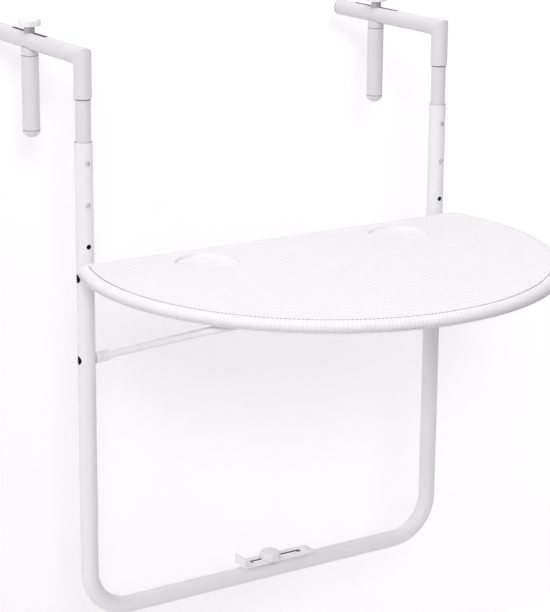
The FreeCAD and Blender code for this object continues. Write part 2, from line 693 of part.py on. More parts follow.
def add_top_outline(sketch, inset):
    """Half-round outline of the top, drawn inside its edge by the inset, with its back edge near y = 0"""
    side_r, shoulder_r, front_r, corner_r = (
        f"({radius} - {inset})" for radius in
        (SIDE_RADIUS, "dims.shoulder_radius", FRONT_RADIUS, "dims.corner_radius"))
    up = FreeCAD.Vector(0, 0, 1)
    first = math.radians(val("dims.side_sweep"))
    second = first + math.radians(val("dims.shoulder_sweep"))
    side_x, widest = val(SIDE_CENTRE), val(WIDEST_Y)
    shoulder = FreeCAD.Vector(val(SHOULDER_X), val(SHOULDER_Y), 0)
    corner = FreeCAD.Vector(0, -val("dims.corner_radius"), 0)
    reach = val(SIDE_RADIUS) - val("dims.corner_radius")
    corner.x = side_x + math.sqrt(reach ** 2 - (corner.y - widest) ** 2)
    corner_angle = math.atan2(corner.y - widest, corner.x - side_x)

    def arc(centre, radius, start, end):
        return sketch.addGeometry(Part.ArcOfCircle(Part.Circle(centre, up, val(radius)), start, end))

    def flip(point):
        return FreeCAD.Vector(-point.x, point.y, 0)

    half = math.pi / 2
    back_y = val(f"-{inset}")
    side = FreeCAD.Vector(side_x, widest, 0)
    back = sketch.addGeometry(Part.LineSegment(FreeCAD.Vector(corner.x, back_y, 0),
                                               FreeCAD.Vector(-corner.x, back_y, 0)))
    left_corner = arc(flip(corner), corner_r, half, math.pi - corner_angle)
    left_side = arc(flip(side), side_r, math.pi - corner_angle, math.pi + first)
    left_shoulder = arc(flip(shoulder), shoulder_r, math.pi + first, math.pi + second)
    front = arc(FreeCAD.Vector(0, val(FRONT_CENTRE), 0), front_r, math.pi + second, 2 * math.pi - second)
    right_shoulder = arc(shoulder, shoulder_r, -second, -first)
    right_side = arc(side, side_r, -first, corner_angle)
    right_corner = arc(corner, corner_r, corner_angle, half)
    loop = (back, left_corner, left_side, left_shoulder, front, right_shoulder, right_side, right_corner)
    for one, following in zip(loop, loop[1:] + loop[:1]):
        sketch.addConstraint(Sketcher.Constraint("Tangent", one, 2, following, 1))
    sketch.addConstraint(Sketcher.Constraint("Horizontal", back))
    bind(sketch, "DistanceY", -1, 1, back, 1, f"-{inset}")
    for item, radius in ((left_corner, corner_r), (right_corner, corner_r), (left_side, side_r),
                         (right_side, side_r), (left_shoulder, shoulder_r), (right_shoulder, shoulder_r),
                         (front, front_r)):
        bind(sketch, "Radius", item, radius)
    fix_point(sketch, left_side, 3, f"-{SIDE_CENTRE}", WIDEST_Y)
    fix_point(sketch, right_side, 3, SIDE_CENTRE, WIDEST_Y)
    fix_point(sketch, front, 3, "0", FRONT_CENTRE)


def bracket_screw_places():
    """Places of the screws of the hinge brackets, from the middle of the back edge"""
    x = f"({EAR_INSIDE} - dims.bracket_screw_inset)"
    distances = ("dims.bracket_screw_near", "dims.bracket_screw_far")
    return [(f"{sign} * {x}", f"{TUBE_R} + dims.top_gap - {y}") for side, sign in SIDES for y in distances]


def catch_screw_places():
    """Places of the screws of the catches, from the middle of the back edge"""
    y = f"({BAR_Y} - {TOP_BACK} - dims.catch_foot)"
    step = "dims.catch_screw_pitch / 2"
    return [(f"{sign} * dims.catch_pitch / 2 + {way} * {step}", y) for side, sign in SIDES for way in (-1, 1)]


def make_top():
    """Moulded half-round top: rounded rim, ribbed underside, edge groove and two cup rests"""
    body = new_body("table_top")
    place(body, y=TOP_BACK, z=TOP_Z)
    outline = sketch_on(body, "XY_Plane", "top_outline", "-dims.top_thickness")
    add_top_outline(outline, "0.0")
    extrude(body, "Pad", outline, "dims.top_thickness")
    fillet(body, "dims.rim_top_round", lambda e: near(e.BoundBox.ZMin, 0))
    under = -val("dims.top_thickness")
    fillet(body, "dims.rim_foot_round", lambda e: near(e.BoundBox.ZMax, under))
    hollow = sketch_on(body, "XY_Plane", "top_hollow", "-dims.top_thickness")
    add_top_outline(hollow, "dims.rim_width")
    extrude(body, "Pocket", hollow, "dims.top_thickness - dims.top_skin")
    half = "dims.rib_thickness / 2"
    rib_height = "dims.top_thickness - dims.top_skin - dims.rib_relief"
    into_rim = "(dims.rim_width - dims.rib_thickness)"
    for i in range(-2, 3):
        rib = sketch_on(body, "XY_Plane", f"rib_{i + 3}", "-dims.top_thickness + dims.rib_relief")
        x = f"{i} * dims.rib_pitch"
        far = front_edge(f"{abs(i)} * dims.rib_pitch + {half}", into_rim, abs(i) < 2)
        add_outline(rib, [(f"{x} - {half}", f"-{into_rim}"), (f"{x} - {half}", far),
                          (f"{x} + {half}", far), (f"{x} + {half}", f"-{into_rim}")])
        extrude(body, "Pad", rib, rib_height)
    cross = sketch_on(body, "XY_Plane", "cross_rib", "-dims.top_thickness + dims.rib_relief")
    from_widest = f"(dims.cross_rib + {half} + {WIDEST_Y})"
    end = f"({SIDE_CENTRE} + sqrt(({SIDE_RADIUS} - {into_rim}) ^ 2 - {from_widest} ^ 2))"
    add_outline(cross, [(f"-{end}", f"-dims.cross_rib - {half}"), (end, f"-dims.cross_rib - {half}"),
                        (end, f"-dims.cross_rib + {half}"), (f"-{end}", f"-dims.cross_rib + {half}")])
    extrude(body, "Pad", cross, rib_height)
    cups = sketch_on(body, "XY_Plane", "cup_floors", "-dims.cup_depth - dims.cup_floor")
    for side, sign in SIDES:
        add_circle(cups, f"{sign} * dims.cup_pitch / 2", "-dims.cup_from_back",
                   "dims.cup_diameter / 2 + dims.cup_floor")
    extrude(body, "Pad", cups, "dims.cup_depth + dims.cup_floor - dims.top_skin / 2")
    bosses = sketch_on(body, "XY_Plane", "screw_bosses", "-dims.top_thickness")
    for x, y in bracket_screw_places() + catch_screw_places():
        add_circle(bosses, x, y, "dims.boss_diameter / 2")
    extrude(body, "Pad", bosses, "dims.top_thickness - dims.top_skin / 2")
    holes = sketch_on(body, "XY_Plane", "screw_holes", "-dims.top_thickness")
    for x, y in bracket_screw_places() + catch_screw_places():
        add_circle(holes, x, y, "dims.trim_screw / 2 + dims.running_fit")
    extrude(body, "Pocket", holes, "dims.trim_screw_length - dims.catch_base + dims.tube_fit")
    recesses = sketch_on(body, "XY_Plane", "cup_recesses")
    for side, sign in SIDES:
        add_circle(recesses, f"{sign} * dims.cup_pitch / 2", "-dims.cup_from_back", "dims.cup_diameter / 2")
    extrude(body, "Pocket", recesses, "dims.cup_depth", False)
    groove = sketch_on(body, "XY_Plane", "edge_groove")
    add_top_outline(groove, "dims.groove_inset")
    add_top_outline(groove, "(dims.groove_inset + dims.groove_width)")
    extrude(body, "Pocket", groove, "dims.groove_depth", False)


def make_brackets():
    """Steel ears under the top that turn on the hinge bolts, each with its screw flange"""
    reach = "dims.ear_reach"
    back = "(-dims.ear_back)"
    under = "(dims.hinge_drop - dims.top_thickness)"
    radius = "dims.ear_radius"
    for side, sign in SIDES:
        body = new_body(side + "_hinge_bracket")
        place(body, x=f"{sign} * {EAR_INSIDE}", y=LEG_Y, z=HINGE_Z)
        eye = sketch_on(body, "YZ_Plane", "eye_outline")
        add_circle(eye, "0", "0", radius)
        extrude(body, "Pad", eye, "dims.ear_thickness", sign > 0)
        ear = sketch_on(body, "YZ_Plane", "ear_outline")
        add_outline(ear, [
            ("0", radius), (back, radius), (back, under), (f"-{reach}", under), (f"-{reach}", f"{under} / 2"),
            (f"-{reach} + {radius}", f"-{radius} / 3"), (back, f"-{radius}"), ("0", f"-{radius}"),
        ])
        extrude(body, "Pad", ear, "dims.ear_thickness", sign > 0)
        flange = sketch_on(body, "XY_Plane", "flange_outline", f"{under} - dims.catch_base")
        edge = f"{sign} * dims.ear_thickness"
        tab = f"{-sign} * dims.flange_width"
        add_outline(flange, [(edge, back), (tab, back), (tab, f"-{reach}"), (edge, f"-{reach}")])
        extrude(body, "Pad", flange, "dims.catch_base")
        bore = sketch_on(body, "YZ_Plane", "ear_bore")
        add_circle(bore, "0", "0", f"{BOLT_R} + dims.running_fit")
        extrude(body, "Pocket", bore, "dims.ear_thickness", sign > 0)
        drill = sketch_on(body, "XY_Plane", "flange_holes")
        for x, y in bracket_screw_places()[:2] if sign < 0 else bracket_screw_places()[2:]:
            add_circle(drill, f"{x} - {sign} * {EAR_INSIDE}", f"{y} + {TOP_BACK} - {LEG_Y}",
                       "dims.trim_screw / 2 + dims.bolt_fit")
        extrude(body, "Pocket", drill, "dims.hinge_drop")


def make_pivots():
    """Bolts, spacers and nuts of the hinge and of the bail, four of each"""
    bolts, spacers, nuts = [], [], []
    seat = f"sqrt({BORE_R} ^ 2 - (dims.bolt_head / 2) ^ 2)"
    for side, sign in SIDES:
        inward = "+x" if sign < 0 else "-x"
        for level_name, level, inside in (("hinge", HINGE_Z, EAR_INSIDE), ("bail", PIVOT_Z, EYE_INSIDE)):
            name = f"{side}_{level_name}"
            end = f"({inside} - dims.side_play - dims.nut_height - dims.past_nut)"
            head_x = f"(dims.leg_pitch / 2 - {seat} + dims.bolt_head_height)"
            head = cylinder(name + "_head", "dims.bolt_head / 2", "dims.bolt_head_height",
                            f"{sign} * {head_x}", LEG_Y, level, inward)
            shank = cylinder(name + "_shank", BOLT_R, f"{head_x} - {end}",
                             f"{sign} * {head_x}", LEG_Y, level, inward)
            bolts.append(fused(name + "_bolt", [head, shank]))
            disc = cylinder(name + "_disc", "dims.spacer_diameter / 2", "dims.spacer_thickness",
                            f"{sign} * {LEG_INSIDE}", LEG_Y, level, inward)
            hole = cylinder(name + "_disc_hole", f"{BOLT_R} + dims.running_fit", "dims.spacer_thickness",
                            f"{sign} * {LEG_INSIDE}", LEG_Y, level, inward)
            spacers.append(cut(name + "_spacer", disc, [hole]))
            blank = hexagon(name + "_nut_blank", "dims.nut_width", "dims.nut_height",
                            f"{sign} * ({inside} - dims.side_play)", LEG_Y, level, inward)
            thread = cylinder(name + "_nut_bore", BOLT_R, "dims.nut_height",
                              f"{sign} * ({inside} - dims.side_play)", LEG_Y, level, inward)
            nuts.append(cut(name + "_nut", blank, [thread]))
    register("pivot_bolts", group("pivot_bolts", bolts))
    register("pivot_spacers", group("pivot_spacers", spacers))
    register("pivot_nuts", group("pivot_nuts", nuts))


def make_bail():
    """U-shaped support rod whose flattened ends turn on the legs and whose bar props the top"""
    body = new_body("support_bail")
    body.Placement = FreeCAD.Placement(FreeCAD.Vector(), FreeCAD.Rotation(FreeCAD.Vector(-1, 0, 0), 20))
    body.setExpression("Placement.Base.y", LEG_Y)
    body.setExpression("Placement.Base.z", PIVOT_Z)
    body.setExpression("Placement.Rotation.Angle", f"asin({BAIL_RISE} / dims.bail_length)")
    start = "(-dims.rod_start)"
    far = "(-dims.bail_length)"
    bend = "dims.bail_bend"
    route = sketch_on(body, "XY_Plane", "bail_route")
    open_route(route, [
        (f"-{BAIL_X}", start), (f"-{BAIL_X}", f"{far} + {bend}"), (f"-{BAIL_X} + {bend}", far),
        (f"{BAIL_X} - {bend}", far), (BAIL_X, f"{far} + {bend}"), (BAIL_X, start),
    ], {1: (bend, 1), 3: (bend, 1)})
    section = sketch_on(body, "XZ_Plane", "rod_section", f"-{start}")
    add_circle(section, f"-{BAIL_X}", "0", ROD_R)
    doc.recompute()
    pipe(body, route, section)
    for side, sign in SIDES:
        eye = sketch_on(body, "YZ_Plane", side + "_eye", f"{sign} * {BAIL_X} - dims.eye_thickness / 2")
        add_slot(eye, ("0", "0"), ("-dims.eye_length", "0"), "dims.eye_radius")
        extrude(body, "Pad", eye, "dims.eye_thickness")
    for side, sign in SIDES:
        bore = sketch_on(body, "YZ_Plane", side + "_eye_bore", f"{sign} * {BAIL_X} - dims.eye_thickness")
        add_circle(bore, "0", "0", f"{BOLT_R} + dims.running_fit")
        extrude(body, "Pocket", bore, "dims.eye_thickness * 2")


def make_catches():
    """Plastic catches under the top: a deep rear wall and a shallow front lip hold the bar of the bail"""
    rear = f"({ROD_R} + dims.catch_play)"
    front = f"(-{ROD_R} - dims.catch_mouth)"
    for side, sign in SIDES:
        body = new_body(side + "_catch")
        place(body, x=f"{sign} * dims.catch_pitch / 2", y=BAR_Y, z=TOP_UNDER)
        profile = sketch_on(body, "YZ_Plane", "catch_profile", "-dims.catch_width / 2")
        base = "(-dims.catch_base)"
        lip = f"({base} - dims.catch_lip)"
        wall = f"({base} - dims.bail_diameter)"
        foot = "(-dims.catch_foot - dims.boss_diameter / 2)"
        add_outline(profile, [
            (foot, "0"), (foot, base), (f"{front} - dims.catch_wall", base),
            (f"{front} - dims.catch_wall / 2", lip), (front, lip), (front, base), (rear, base),
            (rear, wall), (f"{rear} + dims.catch_wall", wall), (f"{rear} + dims.catch_wall * 2", "0"),
        ])
        extrude(body, "Pad", profile, "dims.catch_width")
        drill = sketch_on(body, "XY_Plane", "catch_holes")
        for way in (-1, 1):
            add_circle(drill, f"{way} * dims.catch_screw_pitch / 2", "-dims.catch_foot",
                       "dims.trim_screw / 2 + dims.bolt_fit")
        extrude(body, "Pocket", drill, "dims.catch_base * 2", False)


def trim_screws(name, places):
    """Pan-head screws driven up into the bosses of the top"""
    screws = []
    seat = f"({TOP_UNDER} - dims.catch_base)"
    for number, (x, y) in enumerate(places):
        spot = (x, f"{y} + {TOP_BACK}")
        head = cylinder(f"{name}_head{number}", "dims.trim_head / 2", "dims.trim_head_height", *spot,
                        f"{seat} - dims.trim_head_height")
        shank = cylinder(f"{name}_shank{number}", "dims.trim_screw / 2", "dims.trim_screw_length",
                         *spot, seat)
        screws.append(fused(f"{name}_{number}", [head, shank]))
    register(name, group(name, screws))


def make_foot_stop():
    """Slotted stop plate on the crossbar with its bush, knob, screw and threaded insert"""
    at = "dims.foot_offset"
    plate = new_body("foot_plate")
    place(plate, x=at, y=LEG_Y, z=PLATE_Z)
    half = "dims.plate_width / 2"
    outline = sketch_on(plate, "XY_Plane", "plate_outline")
    add_outline(outline, [("-dims.plate_left", half), ("-dims.plate_left", f"-{half}"),
                          ("dims.plate_right", f"-{half}"), ("dims.plate_right", half)])
    extrude(plate, "Pad", outline, "dims.plate_thickness")
    right = val("dims.plate_right")
    fillet(plate, "dims.plate_corner", lambda e: near(e.BoundBox.XMin, right) and e.BoundBox.ZLength > 1)
    flange = sketch_on(plate, "YZ_Plane", "flange_outline", "-dims.plate_left")
    add_outline(flange, [(f"-{half}", "0"), (half, "0"), (half, "dims.plate_flange"),
                         (f"-{half}", "dims.plate_flange")])
    extrude(plate, "Pad", flange, "dims.plate_thickness")
    slot = sketch_on(plate, "XY_Plane", "plate_slot")
    slot_r = "dims.slot_width / 2"
    add_slot(slot, (f"-dims.plate_slot_left + {slot_r}", "0"),
             (f"dims.plate_slot_right - {slot_r}", "0"), slot_r)
    add_circle(slot, "dims.stud_place", "0", "dims.stud_stem / 2")
    extrude(plate, "Pocket", slot, "dims.plate_thickness")

    stud = new_body("foot_stud")
    place(stud, x=f"{at} + dims.stud_place", y=LEG_Y, z=PLATE_TOP)
    profile = sketch_on(stud, "XZ_Plane", "stud_profile")
    stem = "dims.stud_stem / 2"
    add_outline(profile, [
        ("0", "-dims.plate_thickness"), (stem, "-dims.plate_thickness"), (stem, "0"),
        ("dims.stud_diameter / 2", "0"), ("0", "dims.stud_height"),
    ], {3: ("((dims.stud_diameter / 2) ^ 2 + dims.stud_height ^ 2) / (2 * dims.stud_height)", 1)})
    revolve(stud, profile)

    lift = "dims.bolt_fit"
    flange_disc = cylinder("bush_flange", "dims.bush_flange_diameter / 2", f"dims.bush_flange - {lift}",
                           at, LEG_Y, f"{CROSSBAR_CREST} + {lift}")
    shank = cylinder("bush_shank", "dims.slot_width / 2 - dims.side_play", "dims.plate_thickness",
                     at, LEG_Y, PLATE_Z)
    bush = fused("bush_body", [flange_disc, shank])
    screw_r = "dims.foot_screw / 2"
    bore = cylinder("bush_bore", f"{screw_r} + dims.running_fit", "dims.tube_diameter",
                    at, LEG_Y, CROSSBAR_CREST)
    register("foot_bush", cut("foot_bush", bush, [bore]))

    knob = make_knob("foot_knob", screw_r)
    place(knob, x=at, y=LEG_Y, z=f"{PLATE_TOP} + {lift}")
    low = f"{CROSSBAR_CREST} - dims.insert_length"
    tip = f"({low} + dims.insert_spare)"
    register("foot_screw", cylinder(
        "foot_screw", screw_r, f"{PLATE_TOP} + {lift} + dims.knob_socket - {tip}", at, LEG_Y, tip))
    body = cylinder("insert_body", "dims.insert_diameter / 2", "dims.insert_length", at, LEG_Y, low)
    thread = cylinder("insert_thread", f"{screw_r} + dims.running_fit", "dims.insert_length", at, LEG_Y, low)
    register("foot_insert", cut("foot_insert", body, [thread]))


make_frame()
make_hooks()
make_snap_clips()
make_clamps()
make_top()
make_brackets()
make_pivots()
make_bail()
make_catches()
trim_screws("bracket_screws", bracket_screw_places())
trim_screws("catch_screws", catch_screw_places())
make_foot_stop()
doc.recompute()

for thing in doc.Objects:
    if "Invalid" in thing.State or "Error" in thing.State:
        raise RuntimeError(f"{thing.Name} failed: {thing.State}")
os.makedirs("parts", exist_ok=True)
for label, thing in parts.items():
    shape = thing.Shape
    if shape.isNull() or not shape.isValid() or not shape.Solids:
        raise RuntimeError(label + " has no valid solid")
    shape.exportStep(f"parts/{label}.step")
    box = shape.BoundBox
    middle = [round(value, 1) for value in box.Center]
    print(f"{label:22s} solids {len(shape.Solids)} volume {shape.Volume:10.1f} around {middle}")
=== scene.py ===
# %% [markdown]
# # Balcony railing bar table
# The real table hangs on a balcony railing by two hooks. It is a half-round moulded top with a rattan
# look, held by a bent tube frame. Everything is white apart from the grey collars under the knobs and the
# bright metal of screws, bolts and clips. The CAD model gives all the sizes and joints. It is loaded
# first, as a frame that nothing here moves.

# %% Load the frame
import math
import bmesh
import bpy
from mathutils import Matrix, Vector


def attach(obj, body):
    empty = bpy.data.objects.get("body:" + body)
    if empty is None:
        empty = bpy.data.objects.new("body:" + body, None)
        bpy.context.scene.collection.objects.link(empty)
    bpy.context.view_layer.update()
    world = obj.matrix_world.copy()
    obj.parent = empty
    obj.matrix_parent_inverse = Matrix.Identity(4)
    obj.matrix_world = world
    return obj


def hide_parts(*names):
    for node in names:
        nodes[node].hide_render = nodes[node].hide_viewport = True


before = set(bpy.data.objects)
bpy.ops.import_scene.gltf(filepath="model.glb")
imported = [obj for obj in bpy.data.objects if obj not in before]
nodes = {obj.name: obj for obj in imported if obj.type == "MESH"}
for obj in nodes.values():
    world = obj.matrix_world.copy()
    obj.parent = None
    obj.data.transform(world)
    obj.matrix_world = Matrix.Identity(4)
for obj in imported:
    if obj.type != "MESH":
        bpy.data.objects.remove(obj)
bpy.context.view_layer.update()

# %% [markdown]
# ## Camera
# The photograph was taken from the left, a little above the railing, with a long lens. A camera can be
# placed by eye or worked out from known points. Here the place, the lens and the shift come from fitting
# the legs, hooks, holes and the edge of the top to their places in the photograph.

# %% Camera
PHOTO_HEIGHT = 612
FOCAL_PIXELS = 1911.8
SENSOR = 36.0
CAMERA_PLACE = Vector((-1.23356, -2.02689, 0.36097))
CAMERA_AZIMUTH = math.radians(31.634)
CAMERA_DOWN = math.radians(13.593)
CAMERA_ROLL = math.radians(0.507)
CAMERA_SHIFT = -0.15
CLIP_NEAR = 0.05
CLIP_FAR = 100.0

forward = Vector((math.sin(CAMERA_AZIMUTH) * math.cos(CAMERA_DOWN),
                  math.cos(CAMERA_AZIMUTH) * math.cos(CAMERA_DOWN),
                  -math.sin(CAMERA_DOWN)))
level = forward.cross(Vector((0, 0, 1))).normalized()
upright = level.cross(forward)
right = level * math.cos(CAMERA_ROLL) + upright * math.sin(CAMERA_ROLL)
up = upright * math.cos(CAMERA_ROLL) - level * math.sin(CAMERA_ROLL)

camera = bpy.data.objects.new("photo_camera", bpy.data.cameras.new("photo_camera"))
bpy.context.scene.collection.objects.link(camera)
turn = Matrix((right, up, -forward)).transposed().to_4x4()
camera.matrix_world = Matrix.Translation(CAMERA_PLACE) @ turn
camera.data.sensor_width = SENSOR
camera.data.lens = FOCAL_PIXELS / PHOTO_HEIGHT * SENSOR
camera.data.shift_y = CAMERA_SHIFT
camera.data.clip_start = CLIP_NEAR
camera.data.clip_end = CLIP_FAR
bpy.context.scene.camera = camera
print("lens", round(camera.data.lens, 2), "mm")

# %% [markdown]
# ## Shader maths
# Materials are node trees. Long chains of Math nodes are hard to read, so a small class wraps a socket
# and lets Python's own operators add the nodes. One method makes any other node.


# %% Socket maths
class Signal:
    """A value in a material's node tree; arithmetic on it adds Math nodes"""

    def __init__(self, tree, socket=None):
        self.tree = tree
        self.socket = socket

    def node(self, kind, settings, inputs, output=0):
        """Adds a node, first its settings and then the values or links of its sockets, and gives an output"""
        made = self.tree.nodes.new(kind)
        for name, value in settings.items():
            setattr(made, name, value)
        for name, value in inputs.items():
            if isinstance(value, Signal):
                self.tree.links.new(value.socket, made.inputs[name])
            else:
                made.inputs[name].default_value = value
        return Signal(self.tree, made.outputs[output])

    def maths(self, operation, first, second=0.0):
        """Adds a Math node"""
        return self.node("ShaderNodeMath", {"operation": operation}, {0: first, 1: second})

    def __add__(self, other):
        return self.maths("ADD", self, other)

    def __sub__(self, other):
        return self.maths("SUBTRACT", self, other)

    def __mul__(self, other):
        return self.maths("MULTIPLY", self, other)

    __radd__ = __add__
    __rmul__ = __mul__


def new_material(name):
    """An empty material with its surface shader, the Signal of its tree and the object's own coordinates"""
    material = bpy.data.materials.new(name)
    material.use_nodes = True
    tree = material.node_tree
    shader = tree.nodes["Principled BSDF"]
    base = Signal(tree)
    place = base.node("ShaderNodeTexCoord", {}, {}, output="Object")
    return material, shader, base, place


def join(signal, shader, socket):
    """Links a Signal to a socket of the surface shader"""
    signal.tree.links.new(signal.socket, shader.inputs[socket])


def noise(base, place, size, detail=2.0, roughness=0.5):
    """Soft random values between 0 and 1 whose lumps are about the given size in metres"""
    return base.node("ShaderNodeTexNoise", {}, {"Vector": place, "Scale": 1.0 / size, "Detail": detail,
                                                "Roughness": roughness})


def blend(base, factor, first, second):
    """A Mix node between two colours with alpha, either of which may be a Signal"""
    return base.node("ShaderNodeMix", {"data_type": "RGBA"}, {0: factor, 6: first, 7: second}, output=2)


def tint(base, factor, first, second):
    """A colour between two plain colours"""
    return blend(base, factor, (*first, 1.0), (*second, 1.0))


def part_of(base, place, axis):
    """One coordinate of a place"""
    return base.node("ShaderNodeSeparateXYZ", {}, {"Vector": place}, output=axis)


def falling(base, value, low, high, shape="LINEAR"):
    """1 where the value is below the low one, 0 where it is above the high one, and a fall in between"""
    return base.node("ShaderNodeMapRange", {"interpolation_type": shape},
                     {"Value": value, "From Min": low, "From Max": high, "To Min": 1.0, "To Max": 0.0})


def relief(base, height, distance, under=None):
    """A Bump node whose height of 1 stands the given distance in metres"""
    inputs = {"Height": height, "Distance": distance}
    if under:
        inputs["Normal"] = under
    return base.node("ShaderNodeBump", {}, inputs)


print("socket maths ready")

# %% [markdown]
# ## Powder coating
# The tubes are coated with white powder that is melted on in an oven. It is satin, with a very fine
# orange peel, and a little thicker and thinner in places. A flat white would look like paper, so slow
# noise varies the colour and the gloss by a few percent, and fine noise raises the orange peel.
# The powder doesn't reach the inside of a tube, where the steel is bare. The near-black colour of the inner
# walls is painted shade, so the holes and slots look dark. That could be a second material on the inner
# faces. Here the distance from the tube's middle line tells inside from outside, because the mesh of a CAD
# part stays as it is. Where one tube ends on another, a thin dark line of painted shade marks the seam.
# Hooks and clamps get a greyer copy of the frame's white, which is painted shade.

# %% Powder coating
FRAME_WHITE = ((0.89, 0.872, 0.89), (0.86, 0.843, 0.86))
# the frame's white made greyer for the hooks and clamps, as painted shade
SHADED_HOOK_WHITE = ((0.77, 0.754, 0.77), (0.74, 0.724, 0.74))
PLATE_WHITE = ((0.94, 0.92, 0.94), (0.91, 0.89, 0.91))
# near-black painted shade for the bare inner walls of the tubes and the plate's slot
SHADED_BARE_STEEL = (0.09, 0.09, 0.1, 1.0)
TUBE_SIDE = 0.26
LEG_LINE = -0.011
LEG_BEND = -0.6
ARM_LINE = 0.011
ARM_START = 0.03
BARE_RADIUS = 0.0106
PLATE_SLOT = (-0.025, 0.052)
PLATE_SLOT_HALF = 0.0034
# grey of the painted shade along the seams between tubes
SEAM_SHADE_GREY = (0.16, 0.16, 0.17, 1.0)
SEAM_HALF = 0.0006
SEAM_SOFT = 0.0011
CLOUD_SIZE = 0.09
PEEL_SIZE = 0.0022
SPECK_SIZE = 0.0006
PEEL_HEIGHT = 0.00005
SPECK_HEIGHT = 0.000012


def shaded_bare_wall(base, place, tube):
    """1 on the inner walls of the legs, the arms or the foot plate's slot, and 0 where the powder lies"""
    across, along, height = [part_of(base, place, axis) for axis in "XYZ"]
    if tube == "plate":
        inside = base.maths("LESS_THAN", base.maths("ABSOLUTE", along - LEG_LINE), PLATE_SLOT_HALF)
        right = base.maths("GREATER_THAN", across, PLATE_SLOT[0])
        return inside * right * base.maths("LESS_THAN", across, PLATE_SLOT[1])
    side = base.maths("ABSOLUTE", across) - TUBE_SIDE
    if tube == "leg":
        offset, run, start = along - LEG_LINE, height, LEG_BEND
    else:
        offset, run, start = height - ARM_LINE, along, ARM_START
    radius = base.maths("SQRT", side * side + offset * offset)
    return base.maths("LESS_THAN", radius, BARE_RADIUS) * base.maths("GREATER_THAN", run, start)


def ends(name, axis):
    """Lowest and highest place of a CAD part along an axis"""
    places = [corner["XYZ".index(axis)] for corner in nodes[name].bound_box]
    return min(places), max(places)


def powder_coating(name, whites, tube=None, shaded_seams=(), axis="Z"):
    """The coating, with painted shade on bare walls inside an open tube and on seams at places along an axis
    """
    material, shader, base, place = new_material(name)
    clouds = noise(base, place, CLOUD_SIZE, 3.0)
    grain = noise(base, place, PEEL_SIZE, 2.0)
    specks = noise(base, place, SPECK_SIZE, 1.0)
    light, dark = whites
    colour = tint(base, clouds, dark, light)
    if tube:
        # painted shade: the bare inner walls are coloured near black
        colour = blend(base, shaded_bare_wall(base, place, tube), colour, SHADED_BARE_STEEL)
    for level in shaded_seams:
        # painted shade: a thin dark line at each seam
        away = base.maths("ABSOLUTE", part_of(base, place, axis) - level)
        colour = blend(base, falling(base, away, SEAM_HALF, SEAM_SOFT), colour, SEAM_SHADE_GREY)
    join(colour, shader, "Base Color")
    join(0.33 + 0.1 * clouds + 0.05 * grain, shader, "Roughness")
    peel = relief(base, grain, PEEL_HEIGHT)
    join(relief(base, specks, SPECK_HEIGHT, under=peel), shader, "Normal")
    return material


coating = powder_coating("white_powder_coating", FRAME_WHITE)
frame_coating = powder_coating("white_frame_coating", FRAME_WHITE, "leg")
hook_coating = powder_coating("white_hook_coating", SHADED_HOOK_WHITE, "arm", ends("left_hook_tube", "Y")[1:], "Y")
plate_coating = powder_coating("white_plate_coating", PLATE_WHITE, "plate")
clamp_coating = powder_coating("white_clamp_coating", SHADED_HOOK_WHITE, shaded_seams=ends("left_clamp_tube", "Z"))
inner_coating = powder_coating("white_inner_coating", SHADED_HOOK_WHITE,
                               shaded_seams=(ends("left_hook_tube", "Z")[0] - SEAM_HALF,))
coatings = {"frame": frame_coating, "hook_tube": hook_coating, "clamp_tube": clamp_coating,
            "inner_tube": inner_coating, "plate": plate_coating}
print("made", coating.name, [item.name for item in coatings.values()])

# %% [markdown]
# ## Plastics
# The knobs are moulded from white plastic with a fine spark-eroded grain. The plugs and saddles take the
# greyer white of the hooks, which is painted shade, and the collars under the knobs are grey.

# %% Moulded plastics
PLASTIC_CLOUDS = 0.02
SPARK_GRAIN = 0.0004
SPARK_HEIGHT = 0.00002


def moulded_plastic(name, light, dark, gloss):
    """Plastic of a colour that changes slowly between two whites or greys, with the grain of its mould"""
    material, shader, base, place = new_material(name)
    clouds = noise(base, place, PLASTIC_CLOUDS, 2.0)
    grain = noise(base, place, SPARK_GRAIN, 2.0, 0.7)
    join(tint(base, clouds, dark, light), shader, "Base Color")
    join(gloss + 0.08 * clouds + 0.1 * grain, shader, "Roughness")
    join(relief(base, grain, SPARK_HEIGHT), shader, "Normal")
    return material


white_plastic = moulded_plastic("white_moulded_plastic", (0.9, 0.885, 0.9), (0.88, 0.865, 0.88), 0.36)
# the plugs and saddles take the hooks' greyer white, which is painted shade
pale_plastic = moulded_plastic("pale_moulded_plastic", *SHADED_HOOK_WHITE, 0.36)
grey_plastic = moulded_plastic("grey_moulded_plastic", (0.47, 0.46, 0.47), (0.42, 0.41, 0.42), 0.4)
print("made", white_plastic.name, pale_plastic.name, "and", grey_plastic.name)

# %% [markdown]
# ## Rattan look
# The top is moulded in white plastic with the look of woven flat rattan. Each strand has fine fibre lines
# along its length, and painted shade greys the valleys between the strands. The weave lies on the slant
# and changes the upper strand from one crossing to the next, so the lines turn with the strands. The outer
# wall of the weave is painted dark as the shade of the groove beside the rim. The rim is the same plastic
# without the fibres. Painted shade makes it greyer towards its lower edge and where its strands meet, and
# the dishes of the two cup rests are plain.

# %% Rattan plastic
STRAND = 0.010
WEAVE_TURN = math.radians(10)
TOP_LEVEL = -0.234
WEAVE_RELIEF = 0.0004
WEAVE_MIDDLE = (0.0, -0.228, 0.0)
FIBRE_SIZE = 0.0011
FIBRE_STRETCH = 0.06
FIBRE_HEIGHT = 0.00006
WOVEN_CLOUDS = 0.03
RIM_CLOUDS = 0.02
RIM_SHADE_FADE = (0.012, 0.002)
RIM_GRAIN = 0.0009
RIM_GRAIN_HEIGHT = 0.00003
SHADED_HOLLOW = (0.465, 0.498)
EDGE_START = 0.0005
EDGE_DEPTH = 0.0008
GROOVE_SHADE_COLOUR = (0.22, 0.22, 0.23, 1.0)


